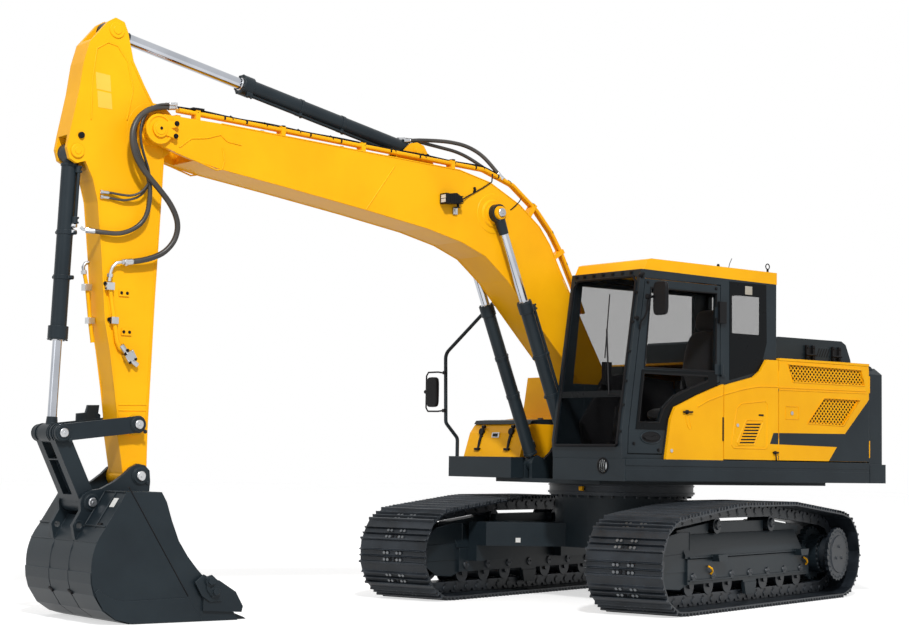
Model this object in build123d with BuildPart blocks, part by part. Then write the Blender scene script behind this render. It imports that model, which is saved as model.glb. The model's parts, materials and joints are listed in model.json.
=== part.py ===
from build123d import *
import math
import os

# Crawler excavator of the 18-tonne class, in millimetres.
# +X runs forward along the boom, +Y to the left (cab side), +Z up.
# The machine is drawn about its swing axis on the ground. When it is saved,
# it moves along X so that the middle of its length is at the origin.

# Undercarriage
swing_angle = 17.3
tumbler_distance = 3170
track_gauge = 2280
shoe_width = 700
shoe_count = 49
lug_radius = 400
lug_height = 26
shoe_plate = 12
chain_height = 100
chain_width = 180
pin_depth = 45
top_run_height = 900
carrier_spacing = 1060
roller_count = 7
roller_span = 2100
roller_radius = 74.7
seat_gap = 0.3
wrap_gap = 1.5

# Track frame
frame_half_width = 150
frame_wall = 22
frame_top = 495
frame_bottom = 225
frame_front = 1150
frame_rear = -1230

# Car body and swing bearing
body_clearance = 460
body_top = 925
bearing_radius = 655
bearing_top = 1030

# Upper frame and decks
tail_radius = 2530
upper_width = 2475
deck_bottom = 1066
deck_top = 1253
deck_front_left = 1114
deck_front_right = 1040
deck_rear = -1975
centre_plate_inner = 200
centre_plate = 32

# Boom geometry, as X and Z of each pin
boom_foot = (360, 1735)
boom_tip = (4990, 3675)
boom_half_width = 195
ram_foot = (835, 1200)
ram_head = (1715, 3335)
ram_spacing = 524
arm_ram_foot = (2456, 3809)
fork_depth = 390
fork_gap = 310

# Arm, bucket and linkage pins at rest
arm_half_width = 110
arm_boss_half = 150
arm_head = (5312, 4405)
bucket_ram_foot = (5610, 3452)
rod_pin = (5692, 1368)
guide_pin = (5083, 1443)
bucket_pin = (5054, 1061)
bucket_link_pin = (5447, 866)
link_ring = 62
bucket_half_width = 532
bucket_sheet = 25
bucket_eye = (5542, 697)
bucket_eye_radius = 22
ear_inner = 156
ear_plate = 38
side_gap = 1.0

# Cylinders
boom_barrel_radius = 57
boom_rod_radius = 38
boom_barrel_length = 1500
boom_rod_length = 1480
arm_barrel_radius = 67
arm_rod_radius = 45
arm_barrel_length = 1735
arm_rod_length = 1700
bucket_barrel_radius = 60
bucket_rod_radius = 35
bucket_barrel_length = 1395
bucket_rod_length = 1460
eye_half = 70
ram_pin = 35
eye_ring = 38
rod_play = 0.1
barrel_start = 85
piston_length = 50
gland_length = 100

# Cab
cab_left = 1205
cab_right = 330
cab_wall = 45
cab_roof_bottom = 2850
roof_top = 2947
door_thickness = 40
door_gap = 10
hinge_x = -36
hinge_y = 1223
hinge_radius = 14
hinge_pin = 8
hinge_heights = (2040, 2535)
hinge_length = 90
glass = 8

# Left covers
panel_face = 1237
panel_thickness = 30
cover_top = 2172
seam = 10


def slab(points, y_low, y_high, mode=Mode.ADD):
    """A plate whose outline is in X and Z, between two places across the machine."""
    with BuildSketch(Plane.XZ.offset(-y_high)) as face:
        with BuildLine():
            Polyline(points, close=True)
        make_face()
    return extrude(face.sketch, amount=y_high - y_low, mode=mode)


def drum(centre, radius, y_low, y_high, mode=Mode.ADD):
    """A cylinder lying across the machine."""
    with BuildSketch(Plane.XZ.offset(-y_high)) as face:
        with Locations(centre):
            Circle(radius)
    return extrude(face.sketch, amount=y_high - y_low, mode=mode)


def wheel(centre, radius, y_low, y_high, mode=Mode.ADD, sides=24):
    """A drum with flat sides, for wheels that repeat."""
    with BuildSketch(Plane.XZ.offset(-y_high)) as face:
        with Locations(centre):
            RegularPolygon(radius, sides)
    return extrude(face.sketch, amount=y_high - y_low, mode=mode)


def strap(start, end, start_radius, end_radius, y_low, y_high, mode=Mode.ADD):
    """A plate with two round ends and tangent sides."""
    with BuildSketch(Plane.XZ.offset(-y_high)) as face:
        with Locations(start):
            Circle(start_radius)
        with Locations(end):
            Circle(end_radius)
        make_hull()
    return extrude(face.sketch, amount=y_high - y_low, mode=mode)


def block(x_range, y_range, z_range, mode=Mode.ADD):
    """A box given by its ends along X, Y and Z."""
    with BuildSketch(Plane.XY.offset(z_range[0])) as face:
        with Locations(((x_range[0] + x_range[1]) / 2, (y_range[0] + y_range[1]) / 2)):
            Rectangle(x_range[1] - x_range[0], y_range[1] - y_range[0])
    return extrude(face.sketch, amount=z_range[1] - z_range[0], mode=mode)


def across(points, x_low, x_high, mode=Mode.ADD):
    """A bar whose section is in Y and Z, between two places along the machine."""
    with BuildSketch(Plane.YZ.offset(x_low)) as face:
        with BuildLine():
            Polyline(points, close=True)
        make_face()
    return extrude(face.sketch, amount=x_high - x_low, mode=mode)


def plate(points, z_low, z_high, mode=Mode.ADD):
    """A level plate whose outline is in X and Y, between two heights."""
    with BuildSketch(Plane.XY.offset(z_low)) as face:
        with BuildLine():
            Polyline(points, close=True)
        make_face()
    return extrude(face.sketch, amount=z_high - z_low, mode=mode)


def disc(centre, radius, z_low, z_high, mode=Mode.ADD):
    """An upright cylinder."""
    with BuildSketch(Plane.XY.offset(z_low)) as face:
        with Locations(centre):
            Circle(radius)
    return extrude(face.sketch, amount=z_high - z_low, mode=mode)


def direction(start, end):
    """Unit vector in X and Z from one pin to another, and the distance."""
    length = math.dist(start, end)
    return (end[0] - start[0]) / length, (end[1] - start[1]) / length, length


def along(start, end, distance):
    """The point at a distance from start towards end."""
    dx, dz, length = direction(start, end)
    return start[0] + dx * distance, start[1] + dz * distance


# Track path

pin_offset = lug_height + shoe_plate + pin_depth
pin_radius = lug_radius - pin_offset
tumbler_x = tumbler_distance / 2
carrier_x = carrier_spacing / 2


def track_path():
    """Straight runs and arcs of the chain's pin line, walked with the outside on the right."""
    rise = top_run_height - pin_offset - lug_radius
    run = tumbler_x - carrier_x
    reach = math.hypot(run, rise)
    top_angle = math.pi - math.atan2(rise, run) - math.acos(pin_radius / reach)
    leave = (
        tumbler_x + pin_radius * math.cos(top_angle),
        lug_radius + pin_radius * math.sin(top_angle),
    )
    shoulder = (carrier_x, top_run_height - pin_offset)
    return leave, shoulder, top_angle


def track_points():
    """The chain's pins, evenly spaced round the loop."""
    leave, shoulder, top_angle = track_path()
    bottom = tumbler_distance
    front_arc = pin_radius * (top_angle + math.pi / 2)
    slope = math.dist(leave, shoulder)
    lengths = [bottom, front_arc, slope, carrier_spacing, slope, front_arc]
    total = sum(lengths)
    points = []
    for index in range(shoe_count):
        distance = total * index / shoe_count
        section = 0
        while distance > lengths[section]:
            distance -= lengths[section]
            section += 1
        share = distance / lengths[section]
        if section == 0:
            point = (-tumbler_x + distance, pin_offset)
        elif section == 1:
            angle = -math.pi / 2 + distance / pin_radius
            point = (
                tumbler_x + pin_radius * math.cos(angle),
                lug_radius + pin_radius * math.sin(angle),
            )
        elif section == 2:
            point = (
                leave[0] + (shoulder[0] - leave[0]) * share,
                leave[1] + (shoulder[1] - leave[1]) * share,
            )
        elif section == 3:
            point = (carrier_x - distance, shoulder[1])
        elif section == 4:
            point = (
                -shoulder[0] + (shoulder[0] - leave[0]) * share,
                shoulder[1] + (leave[1] - shoulder[1]) * share,
            )
        else:
            angle = math.pi - top_angle + distance / pin_radius
            point = (
                -tumbler_x + pin_radius * math.cos(angle),
                lug_radius + pin_radius * math.sin(angle),
            )
        points.append(point)
    return points


def shoe_outline(pins):
    """Outer edge of the shoes: each has one square bar and two pointed bars."""
    # Columns: share of the shoe's length, height above the pin line.
    face = pin_depth + shoe_plate
    section = [
        (0.04, face),
        (0.07, pin_offset),
        (0.15, pin_offset),
        (0.19, face),
        (0.38, face),
        (0.44, pin_offset),
        (0.50, face),
        (0.70, face),
        (0.76, pin_offset),
        (0.82, face),
    ]
    outline = []
    for index, start in enumerate(pins):
        end = pins[(index + 1) % len(pins)]
        dx, dz, length = direction(start, end)
        for share, height in section:
            outline.append(
                (
                    start[0] + dx * length * share + dz * height,
                    start[1] + dz * length * share - dx * height,
                )
            )
    return outline


def offset_loop(pins, height):
    """The pin line moved outward by a height, one corner at each pin."""
    loop = []
    for index, pin in enumerate(pins):
        before = pins[index - 1]
        after = pins[(index + 1) % len(pins)]
        dx, dz, length = direction(before, after)
        loop.append((pin[0] + dz * height, pin[1] - dx * height))
    return loop


def ring_slab(outer, inner, y_low, y_high):
    """A closed loop with the inside taken out."""
    with BuildSketch(Plane.XZ.offset(-y_high)) as face:
        with BuildLine():
            Polyline(outer, close=True)
        make_face()
        with BuildLine():
            Polyline(inner, close=True)
        make_face(mode=Mode.SUBTRACT)
    extrude(face.sketch, amount=y_high - y_low)


def build_track(centre):
    """Shoes and chain as one loop."""
    pins = track_points()
    with BuildPart() as track:
        ring_slab(
            shoe_outline(pins),
            offset_loop(pins, pin_depth),
            centre - shoe_width / 2,
            centre + shoe_width / 2,
        )
        ring_slab(
            offset_loop(pins, pin_depth + shoe_plate / 2),
            offset_loop(pins, pin_depth - chain_height),
            centre - chain_width / 2,
            centre + chain_width / 2,
        )
    return track


rail_height = pin_offset - pin_depth + chain_height
roller_z = rail_height + roller_radius + seat_gap
chain_pitch = math.dist(track_points()[0], track_points()[1])
rail_radius = (lug_radius - rail_height) * math.cos(chain_pitch / 2 / pin_radius)
frame_slab_bottom = roller_z + roller_radius + 24


def build_track_frame(centre, side):
    """Channel over the rollers, yoke for the idler and plate for the drive."""
    half = frame_half_width
    shoulder = half - 55
    inner = half - frame_wall
    section = [
        (centre - half, frame_bottom),
        (centre - half, frame_top - 65),
        (centre - shoulder, frame_top),
        (centre + shoulder, frame_top),
        (centre + half, frame_top - 65),
        (centre + half, frame_bottom),
        (centre + inner, frame_bottom),
        (centre + inner, frame_slab_bottom),
        (centre - inner, frame_slab_bottom),
        (centre - inner, frame_bottom),
    ]
    with BuildPart() as frame:
        across(section, frame_rear, frame_front)
        for edge in (-1, 1):
            near = centre + edge * 100
            far = centre + edge * (inner + 5)
            yoke = [
                (frame_front - 60, 330),
                (tumbler_x + 60, 330),
                (tumbler_x + 90, 400),
                (tumbler_x + 60, 470),
                (frame_front - 60, 480),
            ]
            slab(yoke, min(near, far), max(near, far))
            guard_near = centre + edge * inner
            guard_far = centre + edge * half
            guard = [(-130, frame_bottom + 5), (-95, 105), (95, 105), (130, frame_bottom + 5)]
            slab(guard, min(guard_near, guard_far), max(guard_near, guard_far))
        drive_low = centre - side * half
        drive_high = centre - side * 95
        drive = [
            (frame_rear + 60, 250),
            (-tumbler_x - 120, 250),
            (-tumbler_x - 190, 330),
            (-tumbler_x - 190, 470),
            (-tumbler_x - 120, 550),
            (frame_rear + 60, 480),
        ]
        slab(drive, min(drive_low, drive_high), max(drive_low, drive_high))
        for place in (-carrier_x, carrier_x):
            post_low = centre - side * 150
            post_high = centre - side * 112
            post = [
                (place - 70, frame_top - 80),
                (place + 70, frame_top - 80),
                (place + 38, carrier_z + 30),
                (place - 38, carrier_z + 30),
            ]
            slab(post, min(post_low, post_high), max(post_low, post_high))
    return frame


carrier_radius = 58
carrier_drop = 5
carrier_z = top_run_height - pin_offset + pin_depth - chain_height - carrier_radius - carrier_drop


def build_rollers(centre, side):
    """Bottom rollers with their flanges and axles, and two carrier rollers."""
    inner = frame_half_width - frame_wall
    with BuildPart() as rollers:
        for index in range(roller_count):
            place = -roller_span / 2 + roller_span * index / (roller_count - 1)
            spot = (place, roller_z)
            wheel(spot, roller_radius + 14, centre - 110, centre - 92)
            wheel(spot, roller_radius, centre - 92, centre + 92)
            wheel(spot, roller_radius + 14, centre + 92, centre + 110)
            wheel(spot, 26, centre - inner + seat_gap, centre - 110, sides=12)
            wheel(spot, 26, centre + 110, centre + inner - seat_gap, sides=12)
        for place in (-carrier_x, carrier_x):
            spot = (place, carrier_z)
            wheel(spot, carrier_radius + 12, centre - 105, centre - 92)
            wheel(spot, carrier_radius, centre - 92, centre + 92)
            wheel(spot, carrier_radius + 12, centre + 92, centre + 105)
            near = centre - side * 105
            far = centre - side * 111.7
            wheel(spot, 30, min(near, far), max(near, far), sides=12)
    return rollers


def build_idler(centre):
    """Dished front wheel with a hub."""
    spot = (tumbler_x, lug_radius)
    radius = rail_radius - wrap_gap
    with BuildPart() as idler:
        wheel(spot, radius, centre - 85, centre + 85, sides=36)
        for side in (-1, 1):
            near = centre + side * 30
            far = centre + side * 86
            wheel(spot, radius - 38, min(near, far), max(near, far), mode=Mode.SUBTRACT, sides=36)
        wheel(spot, 85, centre - 99.7, centre + 99.7)
    return idler


def build_sprocket(centre, side):
    """Toothed drive wheel, final drive and travel motor."""
    spot = (-tumbler_x, lug_radius)
    tooth_count = 21
    outline = []
    for index in range(tooth_count):
        for share, radius in ((0.0, rail_radius - 34), (0.32, rail_radius - wrap_gap), (0.68, rail_radius - wrap_gap)):
            angle = 2 * math.pi * (index + share) / tooth_count
            outline.append((spot[0] + radius * math.cos(angle), spot[1] + radius * math.sin(angle)))
    with BuildPart() as sprocket:
        slab(outline, centre - 32, centre + 32)
        low = centre - side * 94.7
        high = centre + side * 140
        wheel(spot, 178, min(low, high), max(low, high), sides=36)
        cap = centre + side * 172
        wheel(spot, 128, min(high, cap), max(high, cap), sides=36)
    return sprocket


def build_car_body():
    """Centre tub and four legs that reach the track frames."""
    reach = track_gauge / 2 - frame_half_width
    with BuildPart() as body:
        disc((0, 0), 600, body_clearance, body_top)
        for front in (-1, 1):
            for left in (-1, 1):
                plan = [
                    (front * 80, left * 380),
                    (front * 380, left * 80),
                    (front * 1010, left * (reach - 190)),
                    (front * 1010, left * reach),
                    (front * 430, left * reach),
                    (front * 330, left * (reach - 190)),
                ]
                plate(plan, body_clearance, body_clearance + 210)
                block(
                    sorted((front * 430, front * 1010)),
                    sorted((left * (reach - 90), left * reach)),
                    (320, body_clearance + 210),
                )
        disc((0, 0), 140, body_clearance - 1, body_top + 1, mode=Mode.SUBTRACT)
    return body


def build_bearing():
    """Swing bearing between car body and upper frame."""
    with BuildPart() as bearing:
        disc((0, 0), bearing_radius, body_top, bearing_top)
        disc((0, 0), bearing_radius - 115, body_top - 1, bearing_top + 1, mode=Mode.SUBTRACT)
    return bearing


# Upper frame

ram_offset = ram_spacing / 2
ram_ear_low = centre_plate_inner + centre_plate
ear_radius = 72
ram_eye_low = ram_ear_low + 2
ram_eye_high = 2 * ram_offset - ram_eye_low


def build_main_frame():
    """Floor plate and two tall centre plates that carry the boom and its cylinders."""
    foot_x, foot_z = boom_foot
    ear_x, ear_z = ram_foot
    rear = deck_rear - seam + seat_gap
    side = [
        (rear, deck_bottom),
        (rear, 1380),
        (-750, 1440),
        (-60, 1560),
        (foot_x - 128, foot_z + 30),
        (foot_x - 90, foot_z + 92),
        (foot_x, foot_z + 130),
        (foot_x + 95, foot_z + 90),
        (foot_x + 130, foot_z),
        (foot_x + 160, 1500),
        (foot_x + 320, 1300),
        (ear_x - ear_radius, ear_z + 35),
        (ear_x - 50, ear_z + 52),
        (ear_x, ear_z + ear_radius),
        (ear_x + 50, ear_z + 52),
        (ear_x + ear_radius, ear_z),
        (ear_x + ear_radius, deck_bottom),
    ]
    with BuildPart() as frame:
        block((rear, ear_x + ear_radius), (-700, 700), (bearing_top + seat_gap, deck_bottom))
        for left in (-1, 1):
            inner = left * centre_plate_inner
            outer = left * ram_ear_low
            slab(side, min(inner, outer), max(inner, outer))
            ear_inner_face = left * (ram_eye_high + 2)
            ear_outer_face = left * (ram_eye_high + 22)
            ear = [
                (ear_x - 150, deck_bottom - 1),
                (ear_x - ear_radius, ear_z + 35),
                (ear_x - 50, ear_z + 52),
                (ear_x, ear_z + ear_radius),
                (ear_x + 50, ear_z + 52),
                (ear_x + ear_radius, ear_z),
                (ear_x + ear_radius, deck_bottom - 1),
            ]
            slab(ear, min(ear_inner_face, ear_outer_face), max(ear_inner_face, ear_outer_face))
            drum(ram_foot, ram_pin - rod_play, min(inner, ear_outer_face), max(inner, ear_outer_face))
        drum(boom_foot, 62, -ram_ear_low - 22, -centre_plate_inner)
        drum(boom_foot, 62, centre_plate_inner, ram_ear_low + 22)
        drum(boom_foot, 44.9, -centre_plate_inner - 1, centre_plate_inner + 1)
    return frame


def build_deck(y_inner, y_outer, front):
    """Side deck: a top plate with a deep skirt round it, open below."""
    low = min(y_inner, y_outer)
    high = max(y_inner, y_outer)
    with BuildPart() as deck:
        block((deck_rear, front), (low, high), (deck_bottom, deck_top))
        block((deck_rear + 40, front - 40), (low + 40, high - 40), (deck_bottom - 1, deck_top - 12), mode=Mode.SUBTRACT)
    return deck


def build_counterweight():
    """Cast weight whose rear follows the tail's swing circle."""
    half = upper_width / 2
    with BuildPart() as weight:
        for radius, width, low, high in (
            (tail_radius, half, deck_bottom, 1240),
            (tail_radius - 40, half - 12, 1240, 2137),
        ):
            corner = -math.sqrt(radius**2 - width**2)
            with BuildSketch(Plane.XY.offset(low)) as plan:
                with BuildLine():
                    Polyline((corner, -width), (deck_rear - seam, -width), (deck_rear - seam, width), (corner, width))
                    ThreePointArc((corner, width), (-radius, 0), (corner, -width))
                make_face()
            extrude(plan.sketch, amount=high - low)
        top = weight.faces().sort_by(Axis.Z)[-1]
        chamfer(top.edges().filter_by(lambda edge: edge.center().X < deck_rear - 60), length=60)
    return weight


def build_engine():
    """Engine as one plain block on the frame."""
    with BuildPart() as engine:
        block((-1900, -1150), (-480, 560), (1450, 2020))
        block((-1880, -1170), (seat_gap - centre_plate_inner, centre_plate_inner - seat_gap), (1330, 1451))
    return engine


# Cab

cab_side = [
    (1115, deck_top + seat_gap),
    (1130, 1400),
    (915, cab_roof_bottom),
    (-745, cab_roof_bottom - 20),
    (-745, deck_top + seat_gap),
]
door_outline = [
    (-30, 2770),
    (862, 2770),
    (1042, 1480),
    (1047, 1300),
    (657, 1300),
    (602, 1602),
    (547, 1714),
    (449, 1754),
    (263, 1830),
    (-30, 1932),
]
upper_window = [(15, 2700), (800, 2700), (868, 2020), (15, 2020)]
lower_window = [(120, 1975), (875, 1975), (930, 1560), (700, 1560), (640, 1690), (520, 1790), (320, 1870), (120, 1935)]
rear_window = [(-150, 2790), (-570, 2790), (-570, 2330), (-345, 2205), (-150, 2205)]


def outline_slab(points, grow, y_low, y_high, mode=Mode.ADD):
    """A plate whose outline is grown or shrunk by a clearance."""
    with BuildSketch(Plane.XZ.offset(-y_high)) as face:
        with BuildLine():
            Polyline(points, close=True)
        make_face()
        offset(amount=grow, kind=Kind.INTERSECTION, mode=Mode.REPLACE)
    extrude(face.sketch, amount=y_high - y_low, mode=mode)


front_window = (cab_right + 42, cab_left - 42)
front_low = 1360
front_high = 2790
crossbar = (1775, 1815)


def build_cab_frame():
    """Pillars, sills and rails round the operator, with a floor, open to the roof."""
    with BuildPart() as cab:
        slab(cab_side, cab_right, cab_left)
        outline_slab(cab_side, -cab_wall, cab_right + cab_wall, cab_left - cab_wall, mode=Mode.SUBTRACT)
        block((-600, 780), (cab_right + 130, cab_left - 130), (2700, 2900), mode=Mode.SUBTRACT)
        outline_slab(door_outline, door_gap, cab_left - cab_wall - 1, cab_left + 1, mode=Mode.SUBTRACT)
        slab(rear_window, cab_left - cab_wall - 1, cab_left + 1, mode=Mode.SUBTRACT)
        right_window = [(-560, 2760), (830, 2760), (930, 1900), (-560, 1900)]
        slab(right_window, cab_right - 1, cab_right + cab_wall + 1, mode=Mode.SUBTRACT)
        block((800, 1200), front_window, (front_low, crossbar[0]), mode=Mode.SUBTRACT)
        block((800, 1200), front_window, (crossbar[1], front_high), mode=Mode.SUBTRACT)
        block((-800, -650), (cab_right + 80, cab_left - 80), (2230, 2760), mode=Mode.SUBTRACT)
        for height in hinge_heights:
            low = height - hinge_length / 2
            block((hinge_x - 40, hinge_x + 4), (cab_left - 1, hinge_y + 8), (low - 14, low))
            disc((hinge_x, hinge_y), hinge_pin - rod_play, low - 1, low + hinge_length)
    return cab


def build_cab_roof():
    """Yellow roof cap with a thinner rear half."""
    outline = [
        (885, cab_roof_bottom + seat_gap),
        (842, roof_top - 12),
        (800, roof_top),
        (-752, roof_top - 12),
        (-752, cab_roof_bottom - 20 + seat_gap),
    ]
    with BuildPart() as roof:
        slab(outline, cab_right, cab_left)
        fillet(roof.edges().filter_by(Axis.Y).sort_by(Axis.Z)[-1:], radius=20)
    return roof


def build_cab_glass():
    """Fixed panes: two in front, one behind, one each side."""
    slope_x = (915 - 1130) / (cab_roof_bottom - 1400)

    def front_x(height):
        return 1130 + slope_x * (height - 1400) - 22

    with BuildPart() as panes:
        for low, high in ((front_low, crossbar[0]), (crossbar[1], front_high)):
            pane = [
                (front_x(low) - glass, low + 1),
                (front_x(low), low + 1),
                (front_x(high), high - 1),
                (front_x(high) - glass, high - 1),
            ]
            slab(pane, front_window[0] + 1, front_window[1] - 1)
        outline_slab(rear_window, -1, cab_left - 26, cab_left - 18)
        right_window = [(-560, 2760), (830, 2760), (930, 1900), (-560, 1900)]
        outline_slab(right_window, -1, cab_right + 18, cab_right + 26)
        block((-722, -714), (cab_right + 80.3, cab_left - 80.3), (2230.3, 2759.7))
    return panes


def build_door():
    """Cab door with an upper and a lower window."""
    with BuildPart() as door:
        slab(door_outline, cab_left - door_thickness, cab_left)
        slab(upper_window, cab_left - door_thickness - 1, cab_left + 1, mode=Mode.SUBTRACT)
        slab(lower_window, cab_left - door_thickness - 1, cab_left + 1, mode=Mode.SUBTRACT)
        for height in hinge_heights:
            low = height - hinge_length / 2 + seat_gap
            block((hinge_x, hinge_x + 70), (cab_left - 1, cab_left + 9), (low, low + hinge_length))
            disc((hinge_x, hinge_y), hinge_radius, low, low + hinge_length)
            disc((hinge_x, hinge_y), hinge_pin, low - 1, low + hinge_length + 1, mode=Mode.SUBTRACT)
    return door


def build_door_glass():
    with BuildPart() as panes:
        outline_slab(upper_window, -1, cab_left - 26, cab_left - 18)
        outline_slab(lower_window, -1, cab_left - 26, cab_left - 18)
    return panes


def build_seat():
    """Seat with cushion and backrest on its pedestal."""
    middle = (cab_left + cab_right) / 2
    floor = deck_top + seat_gap + cab_wall
    with BuildPart() as seat:
        block((-230, 170), (middle - 190, middle + 190), (floor, floor + 300))
        block((-280, 250), (middle - 250, middle + 250), (floor + 300, floor + 420))
        back = [(-280, floor + 400), (-180, floor + 400), (-330, floor + 1130), (-430, floor + 1130)]
        slab(back, middle - 240, middle + 240)
    return seat


def build_consoles():
    """Side consoles with control levers, and the front pedals' box."""
    middle = (cab_left + cab_right) / 2
    floor = deck_top + seat_gap + cab_wall
    with BuildPart() as consoles:
        for left in (-1, 1):
            inner = middle + left * 262
            outer = middle + left * 350
            side = [(-250, floor), (300, floor), (330, floor + 560), (-200, floor + 520)]
            slab(side, min(inner, outer), max(inner, outer))
        block((640, 900), (middle - 170, middle + 170), (floor, floor + 90))
    return consoles


# Left and right covers

nose_panel = [
    (642, deck_top + seat_gap),
    (587, 1594),
    (535, 1697),
    (440, 1734),
    (255, 1809),
    (-45, 1912),
    (-45, deck_top + seat_gap),
]
front_cover = [
    (-45 - seam, deck_top + seam),
    (-740, deck_top + seam),
    (-740, 2150),
    (-590, 2150),
    (-515, 2048),
    (-430, 1990),
    (-45 - seam, 1902),
]
rear_cover = [
    (-740 - seam, deck_top + seam),
    (deck_rear + seam / 2, deck_top + seam),
    (deck_rear + seam / 2, 2130),
    (-740 - seam, 2130),
]
front_grille = [(-861, 2122), (-1861, 2112), (-1903, 1966), (-927, 1966)]
rear_grille = [(-1348, 1834), (-1840, 1833), (-1612, 1589), (-1127, 1599)]
louvre_low = 1386
louvre_high = 1590


seam_hinge_radius = 4.4
seam_hinge_pin = 2.5
seam_hinge_places = ((1300, 1460), (1900, 2060))
front_cover_axis = -740 - seam / 2
rear_cover_axis = deck_rear - seam / 4


def add_seam_pins(axis_x, side, depth):
    """Fixed half of a cover's hinge: a pin in each place, held by a lug behind the seam."""
    y = side * panel_face
    inside = side * (panel_face - depth)
    for low, high in seam_hinge_places:
        disc((axis_x, y), seam_hinge_pin - rod_play, low - 12, high)
        block((axis_x - 3, axis_x + 3), sorted((inside, y)), (low - 24, low - 1))


def add_seam_knuckles(axis_x, side, edge_x):
    """Moving half of a cover's hinge: knuckles joined to the cover's edge."""
    y = side * panel_face
    for low, high in seam_hinge_places:
        disc((axis_x, y), seam_hinge_radius, low, high - 1)
        block((axis_x, edge_x + 1), sorted((y - side * 4, y + side * 3)), (low, high - 1))
        disc((axis_x, y), seam_hinge_pin, low - 1, high, mode=Mode.SUBTRACT)


def build_nose_panel():
    """Fixed yellow panel under the rear half of the cab."""
    with BuildPart() as panel:
        slab(nose_panel, panel_face - panel_thickness, panel_face)
    return panel


def build_front_cover():
    """Hinged cover with slanted louvres."""
    with BuildPart() as cover:
        slab(front_cover, panel_face - panel_thickness, panel_face)
        for index in range(7):
            z = louvre_low + 12 + index * 28
            x = -520 + index * 8
            slot = [(x, z), (x + 235, z - 6), (x + 240, z + 4), (x + 5, z + 10)]
            slab(slot, panel_face - panel_thickness - 1, panel_face + 1, mode=Mode.SUBTRACT)
        add_seam_knuckles(front_cover_axis, 1, -740)
    return cover


def build_rear_cover():
    """Hinged cover with two grille openings."""
    with BuildPart() as cover:
        slab(rear_cover, panel_face - panel_thickness, panel_face)
        for opening in (front_grille, rear_grille):
            slab(opening, panel_face - panel_thickness - 1, panel_face + 1, mode=Mode.SUBTRACT)
        add_seam_knuckles(rear_cover_axis, 1, deck_rear + seam / 2)
    return cover


def edge_x(start, end, height):
    """Where a slanted edge passes a height."""
    share = (height - start[1]) / (end[1] - start[1])
    return start[0] + (end[0] - start[0]) * share


def build_grilles():
    """Slatted screens that fill the rear cover's openings."""
    with BuildPart() as screens:
        for opening, count in ((front_grille, 5), (rear_grille, 7)):
            front_top, rear_top, rear_low, front_low_corner = opening
            outline_slab(opening, -seat_gap, panel_face - 24, panel_face - 8)
            outline_slab(opening, -14, panel_face - 25, panel_face - 7, mode=Mode.SUBTRACT)
            low = max(rear_low[1], front_low_corner[1])
            pitch = (min(front_top[1], rear_top[1]) - low) / count
            for index in range(count):
                z = low + pitch * (index + 0.5)
                rear = edge_x(rear_low, rear_top, z) + 9
                front = edge_x(front_low_corner, front_top, z) - 9
                slat = [
                    (panel_face - 20, z - pitch * 0.2),
                    (panel_face - 16, z - pitch * 0.2),
                    (panel_face - 11, z + pitch * 0.3),
                    (panel_face - 15, z + pitch * 0.3),
                ]
                across(slat, rear, front)
    return screens


def build_rear_wall():
    """Fixed frame behind the left covers: posts, sill and top rail."""
    with BuildPart() as wall:
        block((-795, -746), (1100, panel_face - panel_thickness - seat_gap), (deck_top + seat_gap, 2149.7))
        block((-747, -690), (cab_left + seat_gap, panel_face - panel_thickness - seat_gap), (1300, 2120))
        skin = panel_face - panel_thickness - seat_gap
        block((deck_rear - 4, deck_rear + 30), (900, skin), (deck_top + seat_gap, 2149.7))
        add_seam_pins(front_cover_axis, 1, panel_thickness + 1)
        add_seam_pins(rear_cover_axis, 1, panel_thickness + 1)
    return wall


def build_top_cover():
    """Flat cover over the engine room with the opening for the hood."""
    with BuildPart() as cover:
        block((deck_rear, -755), (-panel_face, panel_face), (2150, cover_top))
        block((-1930, -1150), (-840, 840), (2140, cover_top + 1), mode=Mode.SUBTRACT)
        y, z = hood_axis
        for place in hood_hinge_places:
            axle(hood_axis, hood_hinge_pin - rod_play, place - 12, place + hood_hinge_length)
            block((place - 14, place - 1), (y - 10, y + 10), (cover_top - 1, z + 8))
    return cover


hood_half = 860
hood_axis = (880, cover_top + 14)
hood_hinge_radius = 10
hood_hinge_pin = 5
hood_hinge_places = (-1600, -1955)
hood_hinge_length = 60


def axle(centre, radius, x_low, x_high, mode=Mode.ADD):
    """A cylinder lying along the machine, at a place in Y and Z."""
    with BuildSketch(Plane.YZ.offset(x_low)) as face:
        with Locations(centre):
            Circle(radius)
    return extrude(face.sketch, amount=x_high - x_low, mode=mode)


def build_hood():
    """Raised dark hood with sloping ends."""
    outline = [
        (-1120, cover_top + seat_gap),
        (-1127, 2378),
        (-1150, 2400),
        (-2025, 2400),
        (-2088, 2368),
        (-2155, 2225),
        (-2165, 2142),
        (-1990, 2142),
        (-1990, cover_top + seat_gap),
    ]
    inner = [
        (-1150, cover_top - 1),
        (-1157, 2365),
        (-1165, 2372),
        (-2012, 2372),
        (-2066, 2345),
        (-2128, 2215),
        (-2134, 2141),
        (-2018, 2141),
        (-2018, cover_top - 1),
    ]
    with BuildPart() as hood:
        slab(outline, -hood_half, hood_half)
        slab(inner, 28 - hood_half, hood_half - 28, mode=Mode.SUBTRACT)
        for index in range(5):
            x = -1672 - index * 36
            slot = [(x, 2240), (x - 10, 2240), (x + 14, 2318), (x + 24, 2318)]
            slab(slot, hood_half - 29, hood_half + 1, mode=Mode.SUBTRACT)
            slab(slot, -hood_half - 1, 29 - hood_half, mode=Mode.SUBTRACT)
        y, z = hood_axis
        for place in hood_hinge_places:
            far = place + hood_hinge_length
            axle(hood_axis, hood_hinge_radius, place, far)
            block((place, far), (hood_half - 1, y), (z, z + 8))
            axle(hood_axis, hood_hinge_pin, place - 1, far + 1, mode=Mode.SUBTRACT)
    return hood


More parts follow.
